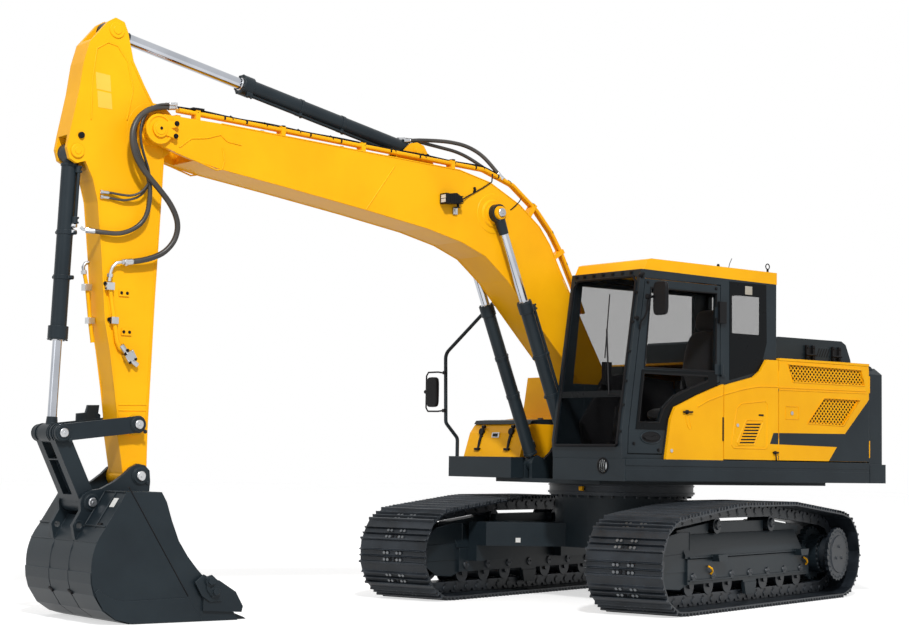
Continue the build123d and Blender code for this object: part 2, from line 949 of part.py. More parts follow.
def build_tank():
    """Fuel and oil tanks on the right deck."""
    outline = [
        (430, deck_top + seat_gap),
        (430, 1600),
        (150, 1640),
        (90, 2020),
        (-650, 2040),
        (-650, deck_top + seat_gap),
    ]
    with BuildPart() as tank:
        slab(outline, -panel_face, -420)
        fillet(tank.edges().filter_by(Axis.X), radius=25)
        x, z = lid_axis
        for place in lid_hinge_places:
            drum(lid_axis, lid_hinge_pin - rod_play, place - 12, place + lid_hinge_length)
            block((395, 430), (place - 14, place - 1), (1590, z + 6))
            block((429, x + 6), (place - 14, place - 1), (z - 6, z + 6))
    return tank


toolbox = [
    (864, deck_top + seat_gap),
    (793, 1473),
    (740, 1542),
    (722, 1556),
    (436, 1556),
    (436, deck_top + seat_gap),
]


def build_toolbox():
    """Open toolbox ahead of the tank."""
    with BuildPart() as box:
        slab(toolbox, -panel_face, -420)
        outline_slab(toolbox, -30, -panel_face + 30, -450, mode=Mode.SUBTRACT)
        block((466, 700), (-panel_face + 30, -450), (1500, 1600), mode=Mode.SUBTRACT)
    return box


lid_axis = (447, 1612)
lid_hinge_radius = 8
lid_hinge_pin = 4
lid_hinge_places = (-1000, -650)
lid_hinge_length = 60


def build_toolbox_lid():
    """Lid of the toolbox with its hinge knuckles."""
    lid = [(745, 1556.3), (722, 1590), (600, 1600), (436, 1600), (436, 1560), (448, 1556.3)]
    with BuildPart() as part:
        slab(lid, -panel_face, -420)
        x, z = lid_axis
        for place in lid_hinge_places:
            far = place + lid_hinge_length
            drum(lid_axis, lid_hinge_radius, place, far)
            block((x - 8, x + 8), (place, far), (1599, z))
            drum(lid_axis, lid_hinge_pin, place - 1, far + 1, mode=Mode.SUBTRACT)
    return part


def build_right_wall():
    """Fixed post between tank and pump room, and the room's top rail."""
    with BuildPart() as wall:
        skin = -panel_face + panel_thickness + seat_gap
        block((-700, -656), (-panel_face, -700), (deck_top + seat_gap, 2149.7))
        block((-760, -699), (skin, -1000), (deck_top + seat_gap, 2149.7))
        block((deck_rear - 4, deck_rear + 30), (skin, -900), (deck_top + seat_gap, 2149.7))
        add_seam_pins(rear_cover_axis, -1, panel_thickness + 1)
    return wall


def build_right_cover():
    """Hinged cover of the pump room."""
    outline = [
        (-700 - seam, deck_top + seam),
        (deck_rear + seam / 2, deck_top + seam),
        (deck_rear + seam / 2, 2130),
        (-700 - seam, 2130),
    ]
    with BuildPart() as cover:
        slab(outline, -panel_face, -panel_face + panel_thickness)
        add_seam_knuckles(rear_cover_axis, -1, deck_rear + seam / 2)
    return cover


def tube(points, radii, radius, sides=10):
    """A round tube along straight runs joined by arcs."""
    with BuildPart() as part:
        with BuildLine() as path:
            FilletPolyline(points, radius=radii)
        with BuildSketch(Plane(origin=path.line @ 0, z_dir=path.line % 0)):
            RegularPolygon(radius, sides)
        sweep()
    return part


def build_handrail():
    """Right front handrail, up from the deck and back to the tank."""
    y = -1150
    rail = tube(
        [(1010, y, deck_top + 0.3), (1010, y, 1420), (1150, y, 1560), (1165, y, 2200), (620, y, 2700), (-250, y, 2700), (-250, y, 2034)],
        [60, 60, 110, 110, 110],
        17,
    )
    return rail


def build_mirrors():
    """Cab mirror on its arm and the right mirror on its bracket."""
    with BuildPart() as mirrors:
        block((890, 925), (1248, 1425), (2450, 2735))
        block((900, 915), (1205.3, 1249), (2560, 2600))
        block((1180, 1205), (-1400, -1215), (1705, 1985))
        block((1165, 1181), (-1300, -1165), (1830, 1850))
    return mirrors


# Boom

boom_top = [
    (4433, 3787),
    (2085, 3676),
    (1750, 3602),
    (1416, 3440),
    (1185, 3265),
    (1066, 3118),
    (946, 2906),
    (900, 2812),
]
boom_bottom = [
    (970, 2197),
    (1170, 2397),
    (1540, 2772),
    (1790, 2965),
    (2050, 3065),
    (2420, 3150),
    (3050, 3247),
    (3790, 3350),
    (4440, 3435),
    (4720, 3490),
]


def boom_outline():
    foot_x, foot_z = boom_foot
    tip_x, tip_z = boom_tip
    return (
        [(tip_x + 40, tip_z - 98), (tip_x + 95, tip_z - 45), (tip_x + 105, tip_z), (tip_x + 85, tip_z + 60)]
        + [(tip_x + 30, tip_z + 102), (tip_x - 60, tip_z + 125)]
        + boom_top
        + [(foot_x - 100, foot_z + 60), (foot_x - 118, foot_z), (foot_x - 85, foot_z - 85)]
        + [(foot_x, foot_z - 118), (foot_x + 75, foot_z - 92)]
        + boom_bottom
    )


def build_boom():
    """Box boom with a forked tip, pin bosses and the bracket of the arm cylinder."""
    with BuildPart() as boom:
        slab(boom_outline(), -boom_half_width, boom_half_width)
        drum(boom_tip, fork_depth, -fork_gap / 2, fork_gap / 2, mode=Mode.SUBTRACT)
        for left in (-1, 1):
            low = left * boom_half_width
            high = left * (boom_half_width + 28)
            drum(boom_tip, 104, min(low, high), max(low, high))
            high = left * (boom_half_width + 5)
            drum(ram_head, 120, min(low, high), max(low, high))
            bracket = [(2250, 3660), (2720, 3700), (2600, 3800), (2530, 3868), (2470, 3880), (2400, 3860), (2360, 3800)]
            low = left * (eye_half + 3)
            high = left * (eye_half + 33)
            slab(bracket, min(low, high), max(low, high))
        drum(arm_ram_foot, ram_pin - rod_play, -eye_half - 45, eye_half + 45)
        drum(boom_tip, 44.9, -fork_gap / 2 - 1, fork_gap / 2 + 1)
        drum(boom_foot, 45, -boom_half_width - 1, boom_half_width + 1, mode=Mode.SUBTRACT)
    return boom


pipe_line = [
    (4800, 3850),
    (4600, 3843),
    (4060, 3819),
    (3014, 3768),
    (1800, 3712),
    (1480, 3612),
    (1200, 3412),
    (1030, 3235),
    (915, 3070),
    (765, 2800),
    (640, 2540),
]
pipe_radius = 17
pipe_places = (136, 174)
clamp_posts = (
    ((4640, 3793.4), (4640, 3872)),
    ((3860, 3761.4), (3860, 3838)),
    ((3080, 3724.4), (3080, 3800)),
    ((2150, 3680.5), (2150, 3756)),
    ((1299, 3353.6), (1228, 3460)),
    ((1005.2, 3012.6), (895, 3080)),
    ((799.7, 2653.2), (700, 2716)),
)


def build_boom_pipes():
    """Four oil pipes along the boom's back, held by clamps that stand on it."""
    with BuildPart() as pipes:
        for left in (-1, 1):
            for place in pipe_places:
                y = left * place
                with BuildLine(mode=Mode.PRIVATE) as path:
                    FilletPolyline([(x, y, z) for x, z in pipe_line], radius=140)
                start = Plane(origin=path.line @ 0, z_dir=path.line % 0)
                with BuildSketch(start) as section:
                    RegularPolygon(pipe_radius, 8)
                sweep(section.sketch, path=path.line)
            for foot, head in clamp_posts:
                dx, dz, length = direction(foot, head)
                post = [
                    (foot[0] + dz * 20, foot[1] - dx * 20),
                    (head[0] + dz * 20, head[1] - dx * 20),
                    (head[0] - dz * 20, head[1] + dx * 20),
                    (foot[0] - dz * 20, foot[1] + dx * 20),
                ]
                low, high = sorted((left * 116, left * 193))
                slab(post, low, high)
    return pipes


def build_work_lamp():
    """Work lamp on a bent bracket at the boom's left side."""
    with BuildPart() as lamp:
        block((2118, 2152), (boom_half_width + 0.3, boom_half_width + 8), (3290, 3350))
        block((2118, 2152), (boom_half_width + 0.3, boom_half_width + 60), (3344, 3350))
        block((2128, 2142), (boom_half_width + 40, boom_half_width + 60), (3349, 3400))
        body = [(2170, 3372), (2262, 3366), (2280, 3446), (2180, 3462), (2120, 3430), (2110, 3395)]
        slab(body, boom_half_width + 12, boom_half_width + 92)
    return lamp


def build_arm():
    """Box arm with ears for three pins at its top and bosses below."""
    head_x, head_z = arm_head
    ram_x, ram_z = bucket_ram_foot
    pin_x, pin_z = bucket_pin
    outline = [
        (head_x + 14, head_z + 94),
        (head_x + 75, head_z + 56),
        (head_x + 223, head_z - 120),
        (5579, 4128),
        (5611, 3899),
        (5673, 3592),
        (ram_x + 84, ram_z + 20),
        (ram_x + 60, ram_z - 60),
        (ram_x, ram_z - 90),
        (5540, 3385),
        (5474, 3256),
        (5428, 3097),
        (5379, 2653),
        (5339, 2209),
        (5291, 1989),
        (5236, 1690),
        (5205, 1362),
        (pin_x + 99, pin_z + 15),
        (pin_x + 70, pin_z - 70),
        (pin_x, pin_z - 99),
        (pin_x - 70, pin_z - 70),
        (pin_x - 99, pin_z + 15),
        (4955, 1404),
        (4925, 2384),
        (4890, 3225),
        (4879, 3549),
        (4925, 3760),
        (4984, 3880),
        (5065, 4010),
        (5165, 4188),
        (head_x - 92, head_z),
        (head_x - 60, head_z + 70),
    ]
    with BuildPart() as arm:
        slab(outline, -arm_half_width, arm_half_width)
        slot = eye_half + 3
        cylinder_room = [
            (head_x - 160, head_z + 260),
            (head_x - 420, head_z + 60),
            (head_x - 420, head_z - 150),
            (head_x - 120, head_z - 205),
            (head_x + 60, head_z - 205),
            (head_x + 150, head_z - 120),
            (head_x + 260, head_z - 60),
            (head_x + 300, head_z + 260),
        ]
        slab(cylinder_room, -slot, slot, mode=Mode.SUBTRACT)
        lower_room = [(ram_x - 120, ram_z + 100), (ram_x + 200, ram_z + 130), (ram_x + 200, ram_z - 300), (ram_x - 95, ram_z - 220)]
        slab(lower_room, -slot, slot, mode=Mode.SUBTRACT)
        drum(bucket_ram_foot, ram_pin - rod_play, -arm_half_width - 8, arm_half_width + 8)
        drum(boom_tip, 120, -arm_boss_half, arm_boss_half)
        drum(boom_tip, 45, -arm_boss_half - 1, arm_boss_half + 1, mode=Mode.SUBTRACT)
        drum(guide_pin, 82, -arm_boss_half, arm_boss_half)
        drum(bucket_pin, 100, -arm_boss_half, arm_boss_half)
        drum(bucket_pin, 40, -arm_boss_half - 1, arm_boss_half + 1, mode=Mode.SUBTRACT)
        drum(guide_pin, 40, -arm_boss_half - 1, arm_boss_half + 1, mode=Mode.SUBTRACT)
    return arm


# Bucket and linkage

bucket_mouth = [(5009, 878), (4963, 743), (4900, 593), (4821, 478), (4740, 385), (4655, 302)]


def build_bucket():
    """Bucket shell with ears, cutting edge, side cutters and five teeth."""
    pin_x, pin_z = bucket_pin
    top = (5053, 950)
    heel = (5259, 2)
    lip = (4400, 2)
    half = bucket_half_width
    link_x, link_z = bucket_link_pin
    link_room = [
        (5075, 948),
        (link_x - 60, link_z - 88),
        (link_x, link_z - 98),
        (link_x + 70, link_z - 70),
        (link_x + 160, link_z + 60),
        (link_x, 1100),
        (5075, 1100),
    ]
    with BuildPart() as bucket:
        with BuildSketch(Plane.XZ.offset(-half)) as side:
            with BuildLine():
                Polyline([(5339, 950), top] + bucket_mouth + [(4470, 120), (4400, 40), lip, heel])
                ThreePointArc(heel, (5500, 110), (5604, 380))
                ThreePointArc((5604, 380), (5585, 540), (5510, 680))
                Line((5510, 680), (5339, 950))
            make_face()
        extrude(side.sketch, amount=2 * half)
        with BuildSketch(Plane.XZ.offset(-half + bucket_sheet)) as room:
            add(side.sketch.moved(Location((0, -bucket_sheet, 0))))
            offset(amount=-bucket_sheet, kind=Kind.INTERSECTION, mode=Mode.REPLACE)
        extrude(room.sketch, amount=2 * (half - bucket_sheet), mode=Mode.SUBTRACT)
        mouth = [(5053 - 5, 950 - bucket_sheet)] + bucket_mouth + [(4470, 120), (4400, 42)]
        opening = [(4200, 42), (4200, 950 - bucket_sheet)] + [(x + 60, z - 10) for x, z in mouth[:-2]] + [(4560, 60), (4480, 42)]
        slab(opening, -half + bucket_sheet, half - bucket_sheet, mode=Mode.SUBTRACT)
        edge = [(4385, 2), (4385, 16), (4440, 42), (4760, 42), (4760, 2)]
        slab(edge, -half, half)
        with BuildSketch(Plane.XZ.offset(-ear_inner)) as liner:
            with BuildLine():
                Polyline(link_room, close=True)
            make_face()
            offset(amount=22, kind=Kind.INTERSECTION, mode=Mode.REPLACE)
            add(side.sketch.moved(Location((0, half - ear_inner, 0))), mode=Mode.INTERSECT)
        extrude(liner.sketch, amount=2 * ear_inner)
        slab(link_room, -ear_inner, ear_inner, mode=Mode.SUBTRACT)
        for left in (-1, 1):
            low = left * ear_inner
            high = left * (ear_inner + ear_plate)
            ear = [
                (pin_x - 88, pin_z - 40),
                (pin_x - 80, pin_z + 40),
                (pin_x - 40, pin_z + 80),
                (pin_x + 20, pin_z + 90),
                (pin_x + 80, pin_z + 60),
                (5183, 1075),
                (5260, 1020),
                (5370, 965),
                (link_x, link_z + 88),
                (link_x + 70, link_z + 55),
                (link_x + 88, link_z),
                (link_x + 82, link_z - 60),
                (5568, 738),
                (5590, 700),
                (5582, 660),
                (5560, 560),
                (5535, 440),
                (5480, 560),
                (5300, 900),
                (pin_x - 80, 920),
            ]
            slab(ear, min(low, high), max(low, high))
            drum(bucket_eye, bucket_eye_radius, min(low, high) - 1, max(low, high) + 1, mode=Mode.SUBTRACT)
            side_low = left * half
            side_high = left * (half + 20)
            cutter = [(4690, 330), (4560, 300), (4415, 212), (4350, 103), (4362, 60), (4690, 80)]
            slab(cutter, min(side_low, side_high), max(side_low, side_high))
        drum(bucket_pin, 39.9, -ear_inner - 1, ear_inner + 1)
        drum(bucket_link_pin, 39.9, -ear_inner - 1, ear_inner + 1)
        for index in range(5):
            y = -440 + 220 * index
            adapter = [(4560, 2), (4560, 46), (4500, 80), (4430, 76), (4392, 60), (4392, 2)]
            slab(adapter, y - 46, y + 46)
            tooth = [(4396, 2), (4396, 54), (4300, 18), (4274, 2)]
            slab(tooth, y - 36, y + 36)
    return bucket


def build_guide_links():
    """Pair of links from the arm to the rod's pin, with the lower pin."""
    with BuildPart() as links:
        for left in (-1, 1):
            low = left * ear_inner
            high = left * (ear_inner + ear_plate)
            strap(guide_pin, rod_pin, link_ring, link_ring, min(low, high), max(low, high))
        drum(guide_pin, 39.9, -ear_inner - 1, ear_inner + 1)
    return links


def build_push_link():
    """Link from the rod's pin to the bucket, an eye below and two arms above."""
    with BuildPart() as link:
        outer = ear_inner - side_gap
        strap(rod_pin, bucket_link_pin, link_ring, link_ring, -outer, outer)
        drum(bucket_link_pin, link_ring + 8, -outer, outer)
        drum(rod_pin, 190, -eye_half - 3, eye_half + 3, mode=Mode.SUBTRACT)
        web_start = along(rod_pin, bucket_link_pin, 190)
        web_end = along(rod_pin, bucket_link_pin, math.dist(rod_pin, bucket_link_pin) - 90)
        dx, dz, length = direction(rod_pin, bucket_link_pin)
        for face in (-1, 1):
            pocket = [
                (web_start[0] + face * dz * 16, web_start[1] - face * dx * 16),
                (web_end[0] + face * dz * 16, web_end[1] - face * dx * 16),
                (web_end[0] + face * dz * 90, web_end[1] - face * dx * 90),
                (web_start[0] + face * dz * 90, web_start[1] - face * dx * 90),
            ]
            slab(pocket, -eye_half - 3, eye_half + 3, mode=Mode.SUBTRACT)
        drum(bucket_link_pin, 40, -ear_inner, ear_inner, mode=Mode.SUBTRACT)
    return link


# Cylinders

def axis_plane(start, end, distance, y):
    """A plane across the line between two pins, at a distance from the first."""
    dx, dz, length = direction(start, end)
    x, z = along(start, end, distance)
    return Plane(origin=(x, y, z), z_dir=(dx, 0, dz))


def rod_cylinder(start, end, begin, finish, radius, y, mode=Mode.ADD):
    with BuildSketch(axis_plane(start, end, begin, y)) as face:
        Circle(radius)
    extrude(face.sketch, amount=finish - begin, mode=mode)


def build_barrel(foot, head, length, radius, rod, y_places, half):
    """Hollow barrel with its foot eye and gland."""
    with BuildPart() as barrel:
        for y in y_places:
            rod_cylinder(foot, head, barrel_start, length, radius, y)
            rod_cylinder(foot, head, length - gland_length + 5, length - 5, radius + 9, y)
            drum(foot, radius + 12, y - half, y + half)
            rod_cylinder(foot, head, ram_pin + 8, barrel_start + 1, min(radius * 0.7, half), y)
            drum(foot, ram_pin, y - half - 1, y + half + 1, mode=Mode.SUBTRACT)
            rod_cylinder(foot, head, barrel_start + 20, length - gland_length, radius - 12, y, mode=Mode.SUBTRACT)
            rod_cylinder(foot, head, length - gland_length - 1, length + 1, rod + rod_play, y, mode=Mode.SUBTRACT)
    return barrel


def build_rod(foot, head, length, bore, rod, y_places, half):
    """Rod with its piston and head eye."""
    reach = math.dist(foot, head)
    with BuildPart() as part:
        for y in y_places:
            rod_cylinder(foot, head, reach - length, reach - 40, rod, y)
            rod_cylinder(foot, head, reach - length, reach - length + piston_length, bore - rod_play, y)
            drum(head, rod + eye_ring, y - half, y + half)
    return part


ram_places = (-ram_offset, ram_offset)
ram_half = (ram_eye_high - ram_eye_low) / 2
pieces = []


def keep(builder, name, turned=False):
    pieces.append((builder.part, name, turned))


for name, side in (("left", 1), ("right", -1)):
    centre = side * track_gauge / 2
    keep(build_track(centre), f"track_{name}", True)
    keep(build_track_frame(centre, side), f"track_frame_{name}", True)
    keep(build_rollers(centre, side), f"rollers_{name}", True)
    keep(build_idler(centre), f"idler_{name}", True)
    keep(build_sprocket(centre, side), f"final_drive_{name}", True)
keep(build_car_body(), "car_body", True)
keep(build_bearing(), "swing_bearing", True)

keep(build_main_frame(), "main_frame")
keep(build_deck(cab_right, upper_width / 2, deck_front_left), "deck_left")
keep(build_deck(-cab_right, -upper_width / 2, deck_front_right), "deck_right")
keep(build_counterweight(), "counterweight")
keep(build_engine(), "engine")
keep(build_cab_frame(), "cab_frame")
keep(build_cab_roof(), "cab_roof")
keep(build_cab_glass(), "cab_glass")
keep(build_door(), "cab_door")
keep(build_door_glass(), "door_glass")
keep(build_seat(), "seat")
keep(build_consoles(), "consoles")
keep(build_nose_panel(), "nose_panel")
keep(build_front_cover(), "front_cover")
keep(build_rear_cover(), "rear_cover")
keep(build_grilles(), "grilles")
keep(build_rear_wall(), "rear_wall")
keep(build_top_cover(), "top_cover")
keep(build_hood(), "hood")
keep(build_tank(), "tank")
keep(build_toolbox(), "toolbox")
keep(build_toolbox_lid(), "toolbox_lid")
keep(build_right_wall(), "right_wall")
keep(build_right_cover(), "right_cover")
keep(build_handrail(), "handrail")
keep(build_mirrors(), "mirrors")
keep(build_boom(), "boom")
keep(build_boom_pipes(), "boom_pipes")
keep(build_work_lamp(), "work_lamp")
keep(build_arm(), "arm")
keep(build_bucket(), "bucket")
keep(build_guide_links(), "guide_links")
keep(build_push_link(), "push_link")
keep(
    build_barrel(ram_foot, ram_head, boom_barrel_length, boom_barrel_radius, boom_rod_radius, ram_places, ram_half),
    "boom_barrels",
)
keep(
    build_rod(ram_foot, ram_head, boom_rod_length, boom_barrel_radius - 12, boom_rod_radius, ram_places, ram_half),
    "boom_rods",
)
keep(
    build_barrel(arm_ram_foot, arm_head, arm_barrel_length, arm_barrel_radius, arm_rod_radius, (0,), eye_half),
    "arm_barrel",
)
keep(
    build_rod(arm_ram_foot, arm_head, arm_rod_length, arm_barrel_radius - 12, arm_rod_radius, (0,), eye_half),
    "arm_rod",
)
keep(
    build_barrel(
        bucket_ram_foot, rod_pin, bucket_barrel_length, bucket_barrel_radius, bucket_rod_radius, (0,), eye_half
    ),
    "bucket_barrel",
)
keep(
    build_rod(bucket_ram_foot, rod_pin, bucket_rod_length, bucket_barrel_radius - 12, bucket_rod_radius, (0,), eye_half),
    "bucket_rod",
)

front_end = rod_pin[0] + bucket_rod_radius + eye_ring
middle_x = (front_end - tail_radius) / 2
os.makedirs("parts", exist_ok=True)
for part, name, turned in pieces:
    placed = part.rotate(Axis.Z, swing_angle) if turned else part
    placed = placed.moved(Location((-middle_x, 0, 0)))
    placed.label = name
    export_step(placed, f"parts/{name}.step")
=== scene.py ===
import json
import math

import bmesh
import bpy
from mathutils import Matrix, Vector


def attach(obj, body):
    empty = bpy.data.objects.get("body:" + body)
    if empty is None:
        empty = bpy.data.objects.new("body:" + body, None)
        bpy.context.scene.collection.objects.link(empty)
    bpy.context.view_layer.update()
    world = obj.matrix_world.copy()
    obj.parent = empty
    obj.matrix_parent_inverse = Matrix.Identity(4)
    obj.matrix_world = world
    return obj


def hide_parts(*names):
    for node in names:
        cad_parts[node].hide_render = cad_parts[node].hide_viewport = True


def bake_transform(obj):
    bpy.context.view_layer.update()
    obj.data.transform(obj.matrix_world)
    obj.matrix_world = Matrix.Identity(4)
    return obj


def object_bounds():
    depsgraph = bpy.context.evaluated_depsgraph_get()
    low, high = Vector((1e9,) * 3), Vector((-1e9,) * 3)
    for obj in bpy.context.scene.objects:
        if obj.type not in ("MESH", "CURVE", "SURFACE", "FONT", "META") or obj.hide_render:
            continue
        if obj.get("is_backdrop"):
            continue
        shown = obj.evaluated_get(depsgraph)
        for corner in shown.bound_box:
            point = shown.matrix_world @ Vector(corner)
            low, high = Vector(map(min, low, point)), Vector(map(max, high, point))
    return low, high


# Sizes are in millimetres about the swing axis on the ground, as in the part's source.
# place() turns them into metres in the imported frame.

MIDDLE_X = 1617.5
SWING = math.radians(17.3)
SHARP_ANGLE = math.radians(35)

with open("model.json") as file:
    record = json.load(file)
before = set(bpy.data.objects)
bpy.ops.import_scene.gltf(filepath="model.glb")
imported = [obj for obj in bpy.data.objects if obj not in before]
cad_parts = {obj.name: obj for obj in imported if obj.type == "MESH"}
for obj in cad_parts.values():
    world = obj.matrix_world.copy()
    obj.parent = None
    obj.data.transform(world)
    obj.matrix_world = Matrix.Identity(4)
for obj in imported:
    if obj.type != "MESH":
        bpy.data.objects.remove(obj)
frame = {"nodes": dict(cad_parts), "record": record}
cad_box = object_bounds()


def place(x, y, z):
    return Vector(((x - MIDDLE_X) / 1000, y / 1000, z / 1000))


# Materials


def add_node(tree, kind, values, **settings):
    """A shader node whose inputs are constants or the outputs of other nodes."""
    node = tree.nodes.new("ShaderNode" + kind)
    for key, value in settings.items():
        setattr(node, key, value)
    set_inputs(tree, node, values)
    return node


def set_inputs(tree, node, values):
    for key, value in values.items():
        if isinstance(value, bpy.types.NodeSocket):
            tree.links.new(value, node.inputs[key])
        else:
            node.inputs[key].default_value = value


def new_material(name):
    """A material, its tree, its main shader and the object's own coordinates."""
    material = bpy.data.materials.new(name)
    material.use_nodes = True
    tree = material.node_tree
    coordinates = add_node(tree, "TexCoord", {})
    return material, tree, tree.nodes["Principled BSDF"], coordinates.outputs["Object"]


def finish_material(
    name, low, high, rough, metallic=0.0, grain=300.0, bump=0.05, patch=2.5, edge=0.003, shine=0.5, worn=None
):
    """A finish with colour variation, uneven gloss, fine grain and softened edges; a worn colour, where given, lightens
    the edges as partly real wear and partly painted highlight.
    """
    material, tree, shader, where = new_material(name)
    clouds = add_node(tree, "TexNoise", {"Vector": where, "Scale": patch, "Detail": 5}).outputs["Fac"]
    fine = add_node(tree, "TexNoise", {"Vector": where, "Scale": grain, "Detail": 3}).outputs["Fac"]
    ramp = add_node(tree, "ValToRGB", {"Fac": clouds})
    for stop, position, colour in zip(ramp.color_ramp.elements, (0.35, 0.65), (low, high)):
        stop.position = position
        stop.color = (*colour, 1)
    colour = ramp.outputs["Color"]
    gloss = add_node(tree, "MapRange", {"Value": clouds, "To Min": rough[0], "To Max": rough[1]})
    relief = add_node(tree, "Bump", {"Height": fine, "Strength": bump, "Distance": 0.001})
    if edge:
        soft_edge = add_node(tree, "Bevel", {"Radius": edge}, samples=4).outputs["Normal"]
        set_inputs(tree, relief, {"Normal": soft_edge})
        # A worn colour lightens the edges: partly real wear, partly a painted highlight.
        if worn:
            colour = worn_and_highlit_edge_colour(tree, soft_edge, colour, fine, worn)
    set_inputs(tree, shader, {
        "Base Color": colour,
        "Metallic": metallic,
        "Specular IOR Level": shine,
        "Roughness": gloss.outputs["Result"],
        "Normal": relief.outputs["Normal"],
    })
    return material


def worn_and_highlit_edge_colour(tree, soft_edge, colour, fine, worn):
    """Edges lightened as partly real wear and partly painted highlight: where the softened normal leaves the surface's
    own, broken up by the grain.
    """
    surface = add_node(tree, "NewGeometry", {}).outputs["Normal"]
    turn = add_node(tree, "VectorMath", {0: soft_edge, 1: surface}, operation="DOT_PRODUCT")
    edges = {"Value": turn.outputs["Value"], "From Min": 0.985, "From Max": 0.88}
    wear_and_highlight_mask = add_node(tree, "MapRange", edges).outputs["Result"]
    broken = add_node(tree, "Math", {0: wear_and_highlight_mask, 1: fine}, operation="MULTIPLY").outputs["Value"]
    mix = add_node(tree, "Mix", {"Factor": broken, "A": colour, "B": (*worn, 1)}, data_type="RGBA")
    return mix.outputs["Result"]


PANE_GLOSS = 0.03


def glass_material(name, tint, rough=0.03, through=None):
    """A pane with faint smears: all gloss, or a thin gloss over a tint that lets light through."""
    material, tree, shader, where = new_material(name)
    smears = add_node(tree, "TexNoise", {"Vector": where, "Scale": 6, "Detail": 4}).outputs["Fac"]
    gloss = add_node(tree, "MapRange", {"Value": smears, "To Min": rough, "To Max": rough + 0.06})
    set_inputs(tree, shader, {
        "Base Color": (*tint, 1),
        "IOR": 1.45,
        "Specular IOR Level": 0.1,
        "Roughness": gloss.outputs["Result"],
    })
    if through:
        clear = add_node(tree, "BsdfTransparent", {"Color": (*through, 1)}).outputs["BSDF"]
        both = add_node(tree, "MixShader", {"Fac": PANE_GLOSS, 1: clear, 2: shader.outputs["BSDF"]})
        set_inputs(tree, tree.nodes["Material Output"], {"Surface": both.outputs["Shader"]})
    return material


def weave_material(name, colour):
    """Woven seat cloth."""
    pale = tuple(c * 1.6 for c in colour)
    material = finish_material(name, colour, pale, (0.8, 0.95), grain=900, bump=0.4)
    tree = material.node_tree
    where = add_node(tree, "TexCoord", {}).outputs["Object"]
    wave = add_node(tree, "TexWave", {"Vector": where, "Scale": 260}).outputs["Fac"]
    relief = add_node(tree, "Bump", {"Height": wave, "Strength": 0.3, "Distance": 0.0005})
    shader = tree.nodes["Principled BSDF"]
    set_inputs(tree, shader, {"Sheen Weight": 0.3, "Normal": relief.outputs["Normal"]})
    return material


YELLOW = finish_material(
    "yellow paint", (0.93, 0.43, 0.004), (0.99, 0.48, 0.005), (0.34, 0.46),
    grain=220, bump=0.06, edge=0.004, shine=0.16,
)
# Dark paint: the worn edge colour is partly real wear and partly a painted highlight on the edges.
DARK = finish_material(
    "dark paint", (0.010, 0.016, 0.021), (0.015, 0.023, 0.029), (0.34, 0.48),
    grain=260, bump=0.08, edge=0.004, shine=0.2, worn=(0.07, 0.085, 0.095),
)
# Track steel: the worn edge colour is partly real wear and partly a painted highlight on the edges.
TRACK = finish_material(
    "track steel", (0.007, 0.010, 0.014), (0.020, 0.026, 0.034), (0.30, 0.50),
    metallic=0.2, grain=140, bump=0.25, patch=5, edge=0.004, shine=0.4, worn=(0.16, 0.18, 0.20),
)
MACHINED = finish_material(
    "machined steel", (0.42, 0.43, 0.45), (0.60, 0.61, 0.62), (0.25, 0.4), metallic=1.0, grain=500, edge=0.001
)
IRON = finish_material("engine iron", (0.05, 0.05, 0.055), (0.09, 0.09, 0.095), (0.5, 0.7), metallic=0.3, bump=0.3)
WORN = finish_material(
    "worn steel", (0.10, 0.11, 0.12), (0.20, 0.21, 0.22), (0.3, 0.45), metallic=0.8, grain=200, bump=0.15, edge=0.002
)
CHROME = finish_material(
    "chrome rod", (0.40, 0.42, 0.46), (0.50, 0.52, 0.56), (0.10, 0.17), metallic=1.0, grain=700, bump=0.01, edge=0.0
)
PLASTIC = finish_material(
    "cab plastic", (0.012, 0.012, 0.014), (0.022, 0.022, 0.024), (0.5, 0.7),
    grain=600, bump=0.2, edge=0.002, shine=0.12,
)
BLACK = finish_material(
    "black plastic", (0.005, 0.005, 0.006), (0.010, 0.010, 0.011), (0.35, 0.55),
    grain=500, bump=0.15, edge=0.002, shine=0.12,
)
RUBBER = finish_material(
    "hose rubber", (0.022, 0.020, 0.018), (0.060, 0.053, 0.046), (0.34, 0.5), grain=350, bump=0.3, edge=0.0
)
LABEL = finish_material("blank labels", (0.90, 0.50, 0.045), (0.95, 0.55, 0.06), (0.4, 0.5), edge=0.0)
MARK = finish_material("pale marks", (0.70, 0.70, 0.68), (0.80, 0.80, 0.78), (0.4, 0.5), edge=0.0)
TAG = finish_material("bare tags", (0.36, 0.33, 0.27), (0.45, 0.41, 0.34), (0.4, 0.55), edge=0.0)
GLASS = glass_material("window glass", (0.01, 0.011, 0.012), through=(0.79, 0.79, 0.79))
BLACK_GLASS = glass_material("printed glass edge", (0.004, 0.005, 0.006), 0.25)
CLOTH = weave_material("seat cloth", (0.016, 0.016, 0.018))
LAMP = glass_material("lamp glass", (0.62, 0.65, 0.66), 0.1)

# The finishes of each material slot. The part's own nodes take the first.
FINISHES = {
    "yellow_paint": (YELLOW, LABEL),
    "dark_paint": (DARK,),
    "track_steel": (TRACK,),
    "machined_steel": (MACHINED, WORN, MARK, TAG),
    "engine_iron": (IRON,),
    "window_glass": (GLASS, BLACK_GLASS, LAMP),
    "seat_fabric": (CLOTH,),
    "cab_plastic": (PLASTIC,),
    "black_plastic": (BLACK, RUBBER),
    "chrome_rod": (CHROME,),
}
SLOT_OF = {finish.name: slot for slot, finishes in FINISHES.items() for finish in finishes}

for part in frame["record"]["subparts"]:
    node = frame["nodes"][part["node"]]
    node.data.materials.clear()
    node.data.materials.append(FINISHES[part["material_slot"]][0])


# Mesh building

BOTH_SIDES = (-1, 1)


def spot(pin, y):
    return (pin[0], y, pin[1])


def along(start, end, distance):
    """A point in X and Z at a distance from one point towards another."""
    share = distance / math.dist(start, end)
    return start[0] + (end[0] - start[0]) * share, start[1] + (end[1] - start[1]) * share


